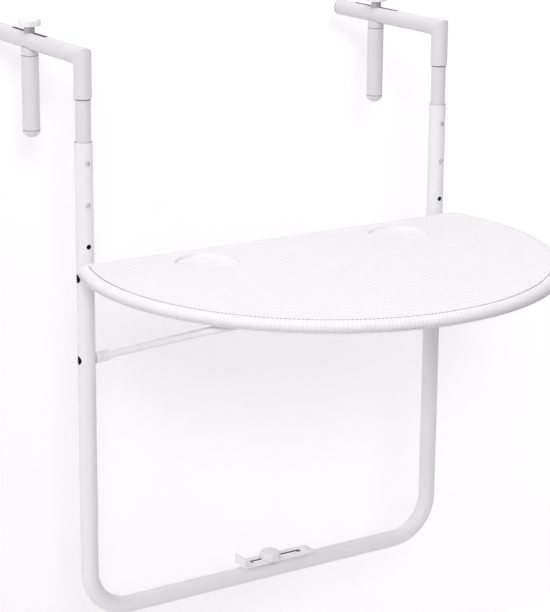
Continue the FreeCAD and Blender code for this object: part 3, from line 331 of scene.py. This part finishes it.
def rattan():
    """The woven surface; painted shade greys its valleys and darkens its outer wall into the fine line by the
    rim
    """
    material, shader, base, place = new_material("white_rattan_plastic")
    slanted = base.node("ShaderNodeMapping", {"vector_type": "TEXTURE"},
                        {"Vector": place, "Location": WEAVE_MIDDLE, "Rotation": (0.0, 0.0, WEAVE_TURN)})
    along = base.node("ShaderNodeMapping", {}, {"Vector": slanted, "Scale": (FIBRE_STRETCH, 1.0, 1.0)})
    across = base.node("ShaderNodeMapping", {}, {"Vector": slanted, "Scale": (1.0, FIBRE_STRETCH, 1.0)})
    even = base.node("ShaderNodeTexChecker", {}, {"Vector": slanted, "Scale": 1.0 / STRAND}, output="Fac")
    fibres = base.node("ShaderNodeMix", {"data_type": "FLOAT"},
                       {0: even, 2: noise(base, along, FIBRE_SIZE, 3.0),
                        3: noise(base, across, FIBRE_SIZE, 3.0)})
    height = part_of(base, place, "Z")
    # painted shade: the valleys below the strand tops turn greyer
    valley_shade = falling(base, height, TOP_LEVEL - WEAVE_RELIEF, TOP_LEVEL, "SMOOTHSTEP")
    # painted shade: the outer wall of the weave turns dark, the shade of the groove beside the rim
    edge = falling(base, height, TOP_LEVEL - EDGE_DEPTH, TOP_LEVEL - EDGE_START)
    clouds = noise(base, place, WOVEN_CLOUDS, 3.0)
    grey = 0.22 * valley_shade + 0.2 * fibres + 0.2 * clouds
    woven = tint(base, grey, (0.905, 0.887, 0.905), (0.8, 0.784, 0.8))
    join(blend(base, edge, woven, GROOVE_SHADE_COLOUR), shader, "Base Color")
    join(0.42 + 0.12 * fibres + 0.06 * clouds, shader, "Roughness")
    join(relief(base, fibres, FIBRE_HEIGHT), shader, "Normal")
    return material


rattan_plastic = rattan()


def rim_finish():
    """The same plastic for the rim, with painted shade greying its lower edge and the joints between the
    strands
    """
    material, shader, base, place = new_material("white_rim_plastic")
    # painted shade: greyer towards the rim's lower edge
    fade_low, fade_high = [TOP_LEVEL - depth for depth in RIM_SHADE_FADE]
    low = falling(base, part_of(base, place, "Z"), fade_low, fade_high, "SMOOTHSTEP")
    clouds = noise(base, place, RIM_CLOUDS, 2.0)
    grain = noise(base, place, RIM_GRAIN, 2.0, 0.7)
    # painted shade: greyer in the hollow joints between the strands, found by pointiness
    pointiness = base.node("ShaderNodeNewGeometry", {}, {}, output="Pointiness")
    joint_shade = falling(base, pointiness, *SHADED_HOLLOW)
    grey = 0.7 * low + 1.1 * joint_shade + 0.1 * clouds + 0.1 * grain
    join(tint(base, grey, (0.9, 0.882, 0.9), (0.62, 0.608, 0.62)), shader, "Base Color")
    join(0.42 + 0.08 * clouds + 0.1 * grain, shader, "Roughness")
    join(relief(base, grain, RIM_GRAIN_HEIGHT), shader, "Normal")
    return material


rim_plastic = rim_finish()
dish_plastic = moulded_plastic("white_dish_plastic", (0.89, 0.872, 0.89), (0.87, 0.853, 0.87), 0.45)
print("made", rattan_plastic.name, rim_plastic.name, "and", dish_plastic.name)

# %% [markdown]
# ## Bright metals
# Screws, bolts and nuts are zinc plated and the snap clips are spring steel. Plating has cloudy patches
# of gloss, and drawn wire and strip have fine lines from the tools. Noise that is stretched along one
# direction gives the lines.

# %% Bright metals
PATCH_SIZE = 0.004
LINE_SIZE = 0.0004
LINE_HEIGHT = 0.000015


def bright_metal(name, light, dark, gloss, stretch):
    """Metal with cloudy gloss and tool lines; the stretch makes the lines long where it is small"""
    material, shader, base, place = new_material(name)
    shader.inputs["Metallic"].default_value = 1.0
    clouds = noise(base, place, PATCH_SIZE, 3.0)
    drawn = base.node("ShaderNodeMapping", {}, {"Vector": place, "Scale": stretch})
    lines = noise(base, drawn, LINE_SIZE, 2.0)
    join(tint(base, clouds, dark, light), shader, "Base Color")
    join(gloss + 0.16 * clouds + 0.1 * lines, shader, "Roughness")
    join(relief(base, lines, LINE_HEIGHT), shader, "Normal")
    return material


zinc = bright_metal("bright_zinc_plating", (0.79, 0.8, 0.81), (0.62, 0.64, 0.67), 0.2, (1.0, 1.0, 0.2))
spring = bright_metal("bright_spring_steel", (0.72, 0.72, 0.71), (0.6, 0.6, 0.6), 0.16, (1.0, 1.0, 0.08))
print("made", zinc.name, "and", spring.name)

# %% [markdown]
# ## Finishes of the CAD parts
# Most CAD parts have the right shape already and only need their finish. A part's name says what it is,
# so its finish follows from its name. What isn't listed has the plain coating of the frame.

# %% Dress the CAD parts
ENDINGS = {"plug": pale_plastic, "knob": white_plastic, "saddle": pale_plastic, "spacers": white_plastic,
           "catch": white_plastic, "stud": white_plastic, "slider": grey_plastic, "bush": grey_plastic,
           "screw": zinc, "screws": zinc, "bolts": zinc, "nuts": zinc, "nut": zinc, "insert": zinc,
           "clip": spring, "top": rattan_plastic}
for name, part in nodes.items():
    family = name.split("_", 1)[1]
    finish = coatings.get(family) or ENDINGS.get(name.split("_")[-1], coating)
    for slot in part.material_slots:
        slot.material = finish
print("dressed", len(nodes), "CAD parts")

# %% [markdown]
# ## Tools of the workshop
# Blender's operators act on what is selected. A few helpers add a primitive, select by place and apply
# modifiers, so that each step below reads as it would be done by hand.

# %% Modelling helpers
SEED_SIZE = 0.01
SAME_PLACE = 0.00001
ARRAY_MERGE = 0.00005
TOUCH = 0.0001


def only(piece):
    """Makes one object the active one and the only one that is selected"""
    bpy.ops.object.select_all(action="DESELECT")
    bpy.context.view_layer.objects.active = piece
    piece.select_set(True)
    return piece


def started(name):
    """Names the primitive that was just added, puts its place into its mesh and opens it for editing"""
    piece = only(bpy.context.object)
    piece.name = name
    bpy.ops.object.transform_apply(location=True, rotation=True, scale=True)
    bpy.ops.object.mode_set(mode="EDIT")
    bpy.ops.mesh.select_mode(type="VERT")
    bpy.ops.mesh.select_all(action="SELECT")
    return piece


def pick(kind, test):
    """Selects the vertices, edges or faces of the mesh in edit mode whose middle passes the test"""
    bpy.ops.mesh.select_mode(type=kind)
    bpy.ops.mesh.select_all(action="DESELECT")
    mesh = bmesh.from_edit_mesh(bpy.context.object.data)
    items = {"VERT": mesh.verts, "EDGE": mesh.edges, "FACE": mesh.faces}[kind]
    for item in items:
        middle = item.co if kind == "VERT" else sum((v.co for v in item.verts), Vector()) / len(item.verts)
        if test(middle):
            item.select_set(True)
    mesh.select_flush_mode()
    bmesh.update_edit_mesh(bpy.context.object.data)


def move(x=0.0, y=0.0, z=0.0):
    """Moves what is selected"""
    bpy.ops.transform.translate(value=(x, y, z))


def extrude(x=0.0, y=0.0, z=0.0):
    """Pulls new geometry out of what is selected and moves it"""
    bpy.ops.mesh.extrude_region_move(TRANSFORM_OT_translate={"value": (x, y, z)})


def seed(name, place):
    """Starts a piece as a single vertex, in edit mode"""
    bpy.ops.mesh.primitive_plane_add(size=SEED_SIZE, location=place)
    piece = started(name)
    bpy.ops.mesh.merge(type="CENTER")
    return piece


def face_outwards():
    """Points all faces of the mesh outwards and leaves edit mode"""
    bpy.ops.mesh.select_all(action="SELECT")
    bpy.ops.mesh.normals_make_consistent(inside=False)
    bpy.ops.object.mode_set(mode="OBJECT")


def modify(piece, kind, **settings):
    """Adds a modifier and applies it"""
    only(piece)
    made = piece.modifiers.new(kind.lower(), kind)
    for name, value in settings.items():
        setattr(made, name, value)
    bpy.ops.object.modifier_apply(modifier=made.name)


def carve(piece, tool, operation):
    """Joins, cuts or intersects a solid with another, which is used up"""
    modify(piece, "BOOLEAN", operation=operation, object=tool, solver="MANIFOLD")
    bpy.data.objects.remove(tool)


def finished(piece, material, angle=35.0):
    """Turns the faces of a piece outwards, smooths its shallow edges and gives it its finish"""
    only(piece)
    bpy.ops.object.mode_set(mode="EDIT")
    face_outwards()
    bpy.ops.object.shade_smooth_by_angle(angle=math.radians(angle))
    piece.data.materials.clear()
    piece.data.materials.append(material)
    print(piece.name, "faces", len(piece.data.polygons))
    return piece


# %% [markdown]
# ## Outline of the top
# The top is a round disc that is cut off straight beside the railing, with its two corners rounded.
# Spinning a point round the centre of a corner and then round the centre of the disc gives arcs that meet
# without a kink. Only one half is drawn, and the other is its mirror image.

# %% Outline of the top
BACK_EDGE = -0.028
THICKNESS = 0.013
HALF_WIDTH = 0.297
CENTRE_FROM_BACK = 0.1
CORNER = 0.02
DEPTH = CENTRE_FROM_BACK + HALF_WIDTH
disc_centre = (0.0, BACK_EDGE - CENTRE_FROM_BACK, TOP_LEVEL)
corner_rise = CENTRE_FROM_BACK - CORNER
corner_centre = (math.sqrt((HALF_WIDTH - CORNER) ** 2 - corner_rise ** 2), BACK_EDGE - CORNER, TOP_LEVEL)
corner_turn = math.atan2(corner_rise, corner_centre[0])
QUARTER = math.radians(90)
ARCS = ((corner_centre, QUARTER - corner_turn, 10), (disc_centre, QUARTER + corner_turn, 84))


def top_outline(name, inset, level):
    """A face with the outline of the top, drawn inside its edge by the inset, at a height"""
    piece = seed(name, (0, BACK_EDGE - inset, TOP_LEVEL))
    extrude(x=corner_centre[0])
    for centre, angle, steps in ARCS:
        bpy.ops.mesh.spin(steps=steps, angle=angle, center=centre, axis=(0, 0, 1))
    bpy.ops.mesh.select_all(action="SELECT")
    bpy.ops.mesh.duplicate()
    bpy.ops.transform.resize(value=(-1, 1, 1), center_override=(0, 0, 0))
    bpy.ops.mesh.select_all(action="SELECT")
    bpy.ops.mesh.remove_doubles(threshold=SAME_PLACE)
    bpy.ops.mesh.edge_face_add()
    move(z=level)
    bpy.ops.mesh.normals_make_consistent(inside=False)
    return piece


def outline_solid(name, inset, level, height):
    """A solid with the outline of the top, to cut others to it"""
    piece = top_outline(name, inset, level)
    extrude(z=height)
    face_outwards()
    return piece


def outline_loop(name, inset, level):
    """The outline of the top as a loop of edges"""
    piece = top_outline(name, inset, level)
    bpy.ops.mesh.delete(type="ONLY_FACE")
    bpy.ops.object.mode_set(mode="OBJECT")
    return piece


print("outline", HALF_WIDTH * 2, "by", round(DEPTH, 4), "m")

# %% [markdown]
# ## Shell of the top
# Under the weave the top is a hollow moulding: a thick rim, a thin skin and ribs that keep it flat. The
# rim falls away towards its edge, because the wrapped strands lie over it. Insets with a small depth
# shape the fall from one face, and the hollow is another inset pushed upwards.

# %% Shell of the top
WRAP_ALLOWANCE = 0.0016
FOOT = -0.0128
RIM_FALL = ((0.0036, 0.0036), (0.0026, 0.0014), (0.0030, 0.0007))
CORE_TOP = -0.0015
RIM_WIDTH = 0.0115
SKIN_UNDER = -0.0045

shell = top_outline("top_shell", WRAP_ALLOWANCE, FOOT)
edge_height = CORE_TOP - FOOT - sum(rise for width, rise in RIM_FALL)
extrude(z=edge_height)
for width, rise in RIM_FALL:
    bpy.ops.mesh.inset(thickness=width, depth=rise)
bpy.ops.mesh.select_all(action="SELECT")
bpy.ops.mesh.normals_make_consistent(inside=False)
pick("FACE", lambda place: place.z < TOP_LEVEL + FOOT + TOUCH)
bpy.ops.mesh.inset(thickness=RIM_WIDTH - WRAP_ALLOWANCE)
extrude(z=SKIN_UNDER - FOOT)
bpy.ops.object.mode_set(mode="OBJECT")
print("shell faces", len(shell.data.polygons))

# %% [markdown]
# ## Ribs, bosses and cup rests
# The ribs run from back to front, with one across. They are cut to the rim by keeping what they share with
# a smaller copy of the outline. The bosses take the screws of the hinge brackets and of the catches. Two
# round hollows in the upper side keep a glass from sliding.

# %% Ribs, bosses and cup rests
RIB_THICK = 0.0024
RIB_PLACES = (-0.16, -0.08, 0.0, 0.08, 0.16)
CROSS_RIB = BACK_EDGE - 0.15
RIB_FOOT = -0.0115
RIB_HEAD = -0.0042
RIB_LAP = 0.003
BOSS_RADIUS = 0.0055
PILOT_RADIUS = 0.00205
PILOT_ROOF = SKIN_UNDER + 0.0002
BRACKET_SCREWS = [(side * 0.22815, y) for side in (-1, 1) for y in (-0.049, -0.073)]
CATCH_SCREWS = [(side * 0.115 + way * 0.0065, -0.3009) for side in (-1, 1) for way in (-1, 1)]
CUP_X = 0.14
CUP_Y = BACK_EDGE - 0.07
CUP_RADIUS = 0.039
CUP_DEPTH = 0.004
CUP_SIDES = 96
CUP_FLOOR = -0.0068
CUP_FLOOR_RADIUS = CUP_RADIUS + 0.0028
DISH_SPACE = 0.0004
CLEAR = 0.001


def box(name, low, high):
    """A box between two corners"""
    middle = [(a + b) / 2 for a, b in zip(low, high)]
    size = [b - a for a, b in zip(low, high)]
    bpy.ops.mesh.primitive_cube_add(size=1.0, location=middle, scale=size)
    piece = started(name)
    bpy.ops.object.mode_set(mode="OBJECT")
    return piece


def post(name, x, y, radius, low, high, sides=32):
    """An upright round post between two heights, measured from the upper side of the top"""
    bpy.ops.mesh.primitive_cylinder_add(vertices=sides, radius=radius, depth=high - low,
                                        location=(x, y, TOP_LEVEL + (low + high) / 2))
    piece = started(name)
    bpy.ops.object.mode_set(mode="OBJECT")
    return piece


cross = box("ribs", (-HALF_WIDTH, CROSS_RIB - RIB_THICK / 2, TOP_LEVEL + RIB_FOOT),
            (HALF_WIDTH, CROSS_RIB + RIB_THICK / 2, TOP_LEVEL + RIB_HEAD))
for x in RIB_PLACES:
    carve(cross, box("rib", (x - RIB_THICK / 2, BACK_EDGE - DEPTH, TOP_LEVEL + RIB_FOOT),
                     (x + RIB_THICK / 2, BACK_EDGE, TOP_LEVEL + RIB_HEAD)), "UNION")
carve(cross, outline_solid("rib_limit", RIM_WIDTH - RIB_LAP, -THICKNESS, THICKNESS), "INTERSECT")
carve(shell, cross, "UNION")
for side in (-1, 1):
    cup_floor = post("cup_floor", side * CUP_X, CUP_Y, CUP_FLOOR_RADIUS, CUP_FLOOR, RIB_HEAD, CUP_SIDES)
    carve(shell, cup_floor, "UNION")
for x, y in BRACKET_SCREWS + CATCH_SCREWS:
    carve(shell, post("boss", x, y, BOSS_RADIUS, -THICKNESS, RIB_HEAD), "UNION")
for x, y in BRACKET_SCREWS + CATCH_SCREWS:
    carve(shell, post("pilot_hole", x, y, PILOT_RADIUS, -THICKNESS - CLEAR, PILOT_ROOF), "DIFFERENCE")
for side in (-1, 1):
    cup_space = post("cup_space", side * CUP_X, CUP_Y, CUP_RADIUS + DISH_SPACE, -CUP_DEPTH - DISH_SPACE,
                     CLEAR, CUP_SIDES)
    carve(shell, cup_space, "DIFFERENCE")
finished(shell, rim_plastic)

# %% [markdown]
# ## Weave of the top
# The upper side looks like flat rattan: broad strands that cross over and under each other on the slant.
# A bump could give the pattern, but the strands catch the light and show at the edges, so they are real.
# One tile holds two strands each way. Two Array modifiers lay the field, which is then cut to the outline.

# %% Weave of the top
TILE_STEPS = 8
WEAVE_FOOT = 0.0012
GROOVE_INSET = 0.0125
GROOVE_WIDTH = 0.0012
WEAVE_CUT = 0.004
HOLE_CUT = 0.003
HOLE_SPACE = 0.0002
STRAND_ANGLE = 60.0
COUNTS = (35, 31)
step = 2 * STRAND / TILE_STEPS
# height of a crossing by the steps from its middle along and across the upper strand
HUMP = {(0, 0): 1.0, (1, 0): 0.92, (0, 1): 0.84, (1, 1): 0.76, (2, 0): 0.3, (0, 2): 0.3, (2, 1): 0.22,
        (1, 2): 0.22, (2, 2): 0.0}

bpy.ops.mesh.primitive_grid_add(x_subdivisions=TILE_STEPS, y_subdivisions=TILE_STEPS, size=2 * STRAND)
weave = started("top_weave")


def crossing_steps(place):
    """Steps along and across the upper strand of the crossing that a point of the tile is in"""
    steps = []
    for value in (place.x, place.y):
        from_edge = round((value + STRAND) / step) % (TILE_STEPS // 2)
        steps.append(abs(from_edge - TILE_STEPS // 4))
    odd = (int((place.x + STRAND) // STRAND) + int((place.y + STRAND) // STRAND)) % 2
    return (steps[1], steps[0]) if odd else (steps[0], steps[1])


for wanted, height in HUMP.items():
    pick("VERT", lambda place: crossing_steps(place) == wanted)
    move(z=height * WEAVE_RELIEF)
bpy.ops.object.mode_set(mode="OBJECT")
for axis, count in enumerate(COUNTS):
    shift = [0.0, 0.0, 0.0]
    shift[axis] = 2 * STRAND
    modify(weave, "ARRAY", count=count, use_relative_offset=False, use_constant_offset=True,
           constant_offset_displace=shift, use_merge_vertices=True, merge_threshold=ARRAY_MERGE)
bpy.ops.object.mode_set(mode="EDIT")
bpy.ops.mesh.select_all(action="SELECT")
extrude(z=-WEAVE_FOOT)
bpy.ops.transform.resize(value=(1, 1, 0), center_override=(0, 0, -WEAVE_FOOT))
bpy.ops.mesh.select_all(action="SELECT")
bpy.ops.mesh.normals_make_consistent(inside=False)
move(x=-STRAND * (COUNTS[0] - 1), y=-STRAND * (COUNTS[1] - 1))
bpy.ops.transform.rotate(value=-WEAVE_TURN, orient_axis="Z", center_override=(0, 0, 0))
move(y=BACK_EDGE - DEPTH / 2, z=TOP_LEVEL - WEAVE_RELIEF)
bpy.ops.object.mode_set(mode="OBJECT")
field = outline_solid("weave_limit", GROOVE_INSET + GROOVE_WIDTH, -WEAVE_CUT, 2 * WEAVE_CUT)
carve(weave, field, "INTERSECT")
for side in (-1, 1):
    cup_hole = post("cup_hole", side * CUP_X, CUP_Y, CUP_RADIUS + HOLE_SPACE, -HOLE_CUT, HOLE_CUT, CUP_SIDES)
    carve(weave, cup_hole, "DIFFERENCE")
only(weave)
bpy.ops.object.mode_set(mode="EDIT")
pick("FACE", lambda place: place.z < TOP_LEVEL - WEAVE_FOOT - WEAVE_RELIEF + TOUCH)
bpy.ops.mesh.delete(type="FACE")
bpy.ops.mesh.select_mode(type="EDGE")
bpy.ops.mesh.select_non_manifold(extend=False)
bpy.ops.mesh.fill(use_beauty=False)
bpy.ops.object.mode_set(mode="OBJECT")
finished(weave, rattan_plastic, STRAND_ANGLE)

# %% [markdown]
# ## Cup rests
# Each rest is a shallow dish with a rounded lip and a rounded corner at its floor. Its section is drawn
# once and spun round the middle of the dish.

# %% Cup rests
LIP = 0.0006
LIP_FOOT = 0.0012
LIP_STEP = 0.0001
LIP_PARTS = 5
DISH_CORNER = 0.0015


def cup_rest(name, x):
    """A dish whose section runs from the foot of its lip over the wall to the middle of its floor"""
    piece = seed(name, (x + CUP_RADIUS + LIP, CUP_Y, TOP_LEVEL - LIP_FOOT))
    extrude(z=LIP_FOOT - LIP)
    bpy.ops.mesh.spin(steps=LIP_PARTS, angle=QUARTER, axis=(0, 1, 0),
                      center=(x + CUP_RADIUS, CUP_Y, TOP_LEVEL - LIP))
    extrude(z=-LIP_STEP)
    extrude(x=-LIP * 0.6, z=-LIP * 0.4)
    extrude(z=-CUP_DEPTH + LIP * 0.4 + DISH_CORNER)
    extrude(x=-DISH_CORNER * 0.3, z=-DISH_CORNER * 0.7)
    extrude(x=-DISH_CORNER * 0.7, z=-DISH_CORNER * 0.3 + LIP_STEP)
    extrude(x=-CUP_RADIUS + LIP * 0.6 + DISH_CORNER)
    bpy.ops.mesh.select_all(action="SELECT")
    bpy.ops.mesh.spin(steps=CUP_SIDES, angle=4 * QUARTER, center=(x, CUP_Y, TOP_LEVEL), axis=(0, 0, 1))
    bpy.ops.mesh.select_all(action="SELECT")
    bpy.ops.mesh.remove_doubles(threshold=SAME_PLACE)
    bpy.ops.object.mode_set(mode="OBJECT")
    return finished(piece, dish_plastic)


dishes = [cup_rest("left_cup_rest", -CUP_X), cup_rest("right_cup_rest", CUP_X)]

# %% [markdown]
# ## Wrapped rim
# The rim looks wrapped with thin strands that run from the groove over the edge to a bead underneath. One
# strand is modelled: an edge is spun over the rim, squashed to the rim's section and crowned. An Array
# modifier repeats it, and a Curve modifier lays the row along the outline.

# %% Wrapped rim
WRAP_PITCH = 0.005
WRAP_DROP = 0.0095
WRAP_RUN = 0.0106
WRAP_EASE = 0.0016
WRAP_CROWN = 0.0006
WRAP_SEAT = 0.0016
WRAP_STEPS = 9
WRAP_START = ((0.4, 0.7), (0.6, 0.3))
WRAP_TAIL = ((0.0008, -0.0009), (0.0014, -0.0004))
CROWN_CUTS = 3
CROWN_STEPS = ((0.3, 0.7), (0.1, 0.3))
RING_GAP = 0.0001

path = outline_loop("rim_path", WRAP_CROWN, 0.0)
rim_length = sum((path.data.vertices[a].co - path.data.vertices[b].co).length
                 for a, b in (edge.vertices for edge in path.data.edges))
strands = round(rim_length / WRAP_PITCH)
pitch = rim_length / strands
bpy.ops.object.convert(target="CURVE")
rim_path = bpy.context.object
corners = [point.co for point in rim_path.data.splines[0].points]
turning = sum(a.x * b.y - b.x * a.y for a, b in zip(corners, corners[1:] + corners[:1]))
print("area in the sense of the path", round(turning / 2, 4))
if turning < 0:
    bpy.ops.object.mode_set(mode="EDIT")
    bpy.ops.curve.select_all(action="SELECT")
    bpy.ops.curve.switch_direction()
    bpy.ops.object.mode_set(mode="OBJECT")

bpy.ops.mesh.primitive_plane_add(size=pitch, location=(pitch / 2, 0, 0))
wrap = started("rim_wrap")
pick("VERT", lambda place: place.y < 0)
bpy.ops.mesh.delete(type="VERT")
bpy.ops.mesh.select_all(action="SELECT")
move(y=WRAP_RUN + WRAP_EASE - pitch / 2, z=-WRAP_SEAT)
for run, rise in WRAP_START:
    extrude(y=-WRAP_EASE * run, z=WRAP_SEAT * rise)
bpy.ops.mesh.spin(steps=WRAP_STEPS, angle=-QUARTER, center=(0, WRAP_RUN, -WRAP_RUN), axis=(1, 0, 0))
bpy.ops.mesh.select_all(action="SELECT")
bpy.ops.transform.resize(value=(1, 1, WRAP_DROP / WRAP_RUN), center_override=(0, 0, 0))
pick("EDGE", lambda place: place.z < -WRAP_DROP + TOUCH and place.y < WRAP_RUN / 2)
for run, rise in WRAP_TAIL:
    extrude(y=run, z=rise)
bpy.ops.mesh.select_all(action="SELECT")
bpy.ops.mesh.normals_make_consistent(inside=False)
pick("EDGE", lambda place: abs(place.x - pitch / 2) < pitch / 10)
bpy.ops.mesh.subdivide(number_cuts=CROWN_CUTS)
for width, rise in CROWN_STEPS:
    pick("VERT", lambda place: abs(place.x - pitch / 2) < pitch * width)
    bpy.ops.transform.shrink_fatten(value=rise * WRAP_CROWN)
bpy.ops.mesh.select_all(action="SELECT")
move(z=-WRAP_CROWN)
bpy.ops.object.mode_set(mode="OBJECT")
print("faces of a strand", len(wrap.data.polygons))
modify(wrap, "ARRAY", count=strands, use_relative_offset=False, use_constant_offset=True,
       constant_offset_displace=(pitch, 0, 0), use_merge_vertices=True, merge_threshold=ARRAY_MERGE)
modify(wrap, "CURVE", object=rim_path, deform_axis="POS_X")
bpy.data.objects.remove(rim_path)
only(wrap)
bpy.ops.object.mode_set(mode="EDIT")
bpy.ops.mesh.select_all(action="SELECT")
bpy.ops.mesh.remove_doubles(threshold=RING_GAP)
bpy.ops.object.mode_set(mode="OBJECT")
finished(wrap, rim_plastic, STRAND_ANGLE)
print("strands", strands, "pitch", round(pitch * 1000, 3), "mm")

# %% [markdown]
# ## Bead under the rim
# The strands end at a thin round bead. The outline becomes a curve with a round section, and then a mesh.

# %% Bead under the rim
BEAD_RADIUS = 0.0011
BEAD_GAP = 0.0003

bead = outline_loop("rim_bead", BEAD_RADIUS + BEAD_GAP, -THICKNESS + BEAD_RADIUS)
bpy.ops.object.convert(target="CURVE")
bead.data.bevel_depth = BEAD_RADIUS
bead.data.bevel_resolution = 2
bpy.ops.object.convert(target="MESH")
bead = finished(bpy.context.object, rim_plastic)

# %% [markdown]
# ## Pieces of the top
# The new pieces move with the top, and together they take the place of its CAD part.

# %% Top pieces on their body
for piece in (shell, weave, wrap, bead, *dishes):
    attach(piece, "top")
    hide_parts("table_top")
print("top pieces", [piece.name for piece in (shell, weave, wrap, bead, *dishes)])

# %% [markdown]
# ## Studio
# The photograph has a white ground with a soft grey shadow of the table behind it. A pale floor lies at
# the height of a balcony floor and a pale wall stands behind the hooks. To the camera both are as bright
# as white paper where nothing shades them, which comes from a little light of their own that only the
# camera and reflections see. It grows to the right, because the lamps stand on the left.

# %% Floor, wall and light
GROUND = 12.0
FLOOR_LEVEL = -1.05
WALL_PLACE = 0.31
PAPER_GREEN = 0.985
GLOSSY_SHARE = 0.8
WALL_SHADE = 0.9
WALL_GLOW = 0.265
FLOOR_SHADE = 0.8
FLOOR_GLOW = 0.34
FILL = 0.39
GLOW_START = -0.5
GLOW_END = 0.75
GLOW_LEFT = (0.66, 0.65, 0.66)
GLOW_RIGHT = (1.38, 1.37, 1.38)
MIDDLE = (0.0, -0.1, -0.3)
LAMPS = {"key_light": ((-2.1, -4.2, 1.8), 0.9, 57.0),
         "side_light": ((-2.6, -1.6, 1.0), 2.0, 24.0),
         "top_light": ((0.3, -0.4, 2.2), 1.8, 24.0)}


def paper(name, shade, strength, see_through_from_behind):
    """White paper that only looks brighter to the camera and to glossy surfaces"""
    material = bpy.data.materials.new(name)
    material.use_nodes = True
    tree = material.node_tree
    tree.nodes.clear()
    base = Signal(tree)
    ray = base.node("ShaderNodeLightPath", {}, {}, output="Is Camera Ray")
    glossy = base.node("ShaderNodeLightPath", {}, {}, output="Is Glossy Ray")
    through = base.node("ShaderNodeLightPath", {}, {}, output="Is Transmission Ray")
    seen = base.maths("MINIMUM", ray + GLOSSY_SHARE * glossy + through, 1.0)
    diffuse = base.node("ShaderNodeBsdfDiffuse", {}, {"Color": (shade, PAPER_GREEN * shade, shade, 1.0)})
    place = base.node("ShaderNodeTexCoord", {}, {}, output="Object")
    across = part_of(base, place, "X")
    far = base.node("ShaderNodeMapRange", {}, {"Value": across, "From Min": GLOW_START, "From Max": GLOW_END})
    colour = tint(base, far, GLOW_LEFT, GLOW_RIGHT)
    glow = base.node("ShaderNodeEmission", {}, {"Color": colour, "Strength": seen * strength})
    both = base.node("ShaderNodeAddShader", {}, {0: diffuse, 1: glow})
    if see_through_from_behind:
        behind = base.node("ShaderNodeNewGeometry", {}, {}, output="Backfacing")
        clear = base.node("ShaderNodeBsdfTransparent", {}, {})
        both = base.node("ShaderNodeMixShader", {}, {0: behind, 1: both, 2: clear})
    output = tree.nodes.new("ShaderNodeOutputMaterial")
    tree.links.new(both.socket, output.inputs["Surface"])
    return material


bpy.ops.object.select_all(action="DESELECT")
bpy.ops.mesh.primitive_plane_add(size=GROUND, location=(0, 0, FLOOR_LEVEL))
floor = bpy.context.object
floor.name = "floor"
floor.data.materials.append(paper("floor_paper", FLOOR_SHADE, FLOOR_GLOW, False))

bpy.ops.mesh.primitive_plane_add(size=GROUND, location=(0, WALL_PLACE, FLOOR_LEVEL + GROUND / 2),
                                 rotation=(QUARTER, 0, 0))
wall = bpy.context.object
wall.name = "wall"
wall.data.materials.append(paper("wall_paper", WALL_SHADE, WALL_GLOW, True))

scene = bpy.context.scene
scene.view_settings.view_transform = "Standard"
world = bpy.data.worlds.new("studio")
scene.world = world
world.use_nodes = True
sky = Signal(world.node_tree)
seen = sky.node("ShaderNodeLightPath", {}, {}, output="Is Camera Ray")
backdrop = world.node_tree.nodes["Background"]
world.node_tree.links.new((FILL + (1 - FILL) * seen).socket, backdrop.inputs["Strength"])
backdrop.inputs["Color"].default_value = (1.0, 1.0, 1.0, 1.0)


def soft_box(name, place, size, power):
    """A square lamp that looks at the middle of the table"""
    lamp = bpy.data.lights.new(name, "AREA")
    lamp.size = size
    lamp.energy = power
    made = bpy.data.objects.new(name, lamp)
    scene.collection.objects.link(made)
    made.location = place
    made.rotation_euler = (Vector(MIDDLE) - Vector(place)).to_track_quat("-Z", "Y").to_euler()


for name, (place, size, power) in LAMPS.items():
    soft_box(name, place, size, power)
print("lamps", [item.name for item in bpy.data.lights])
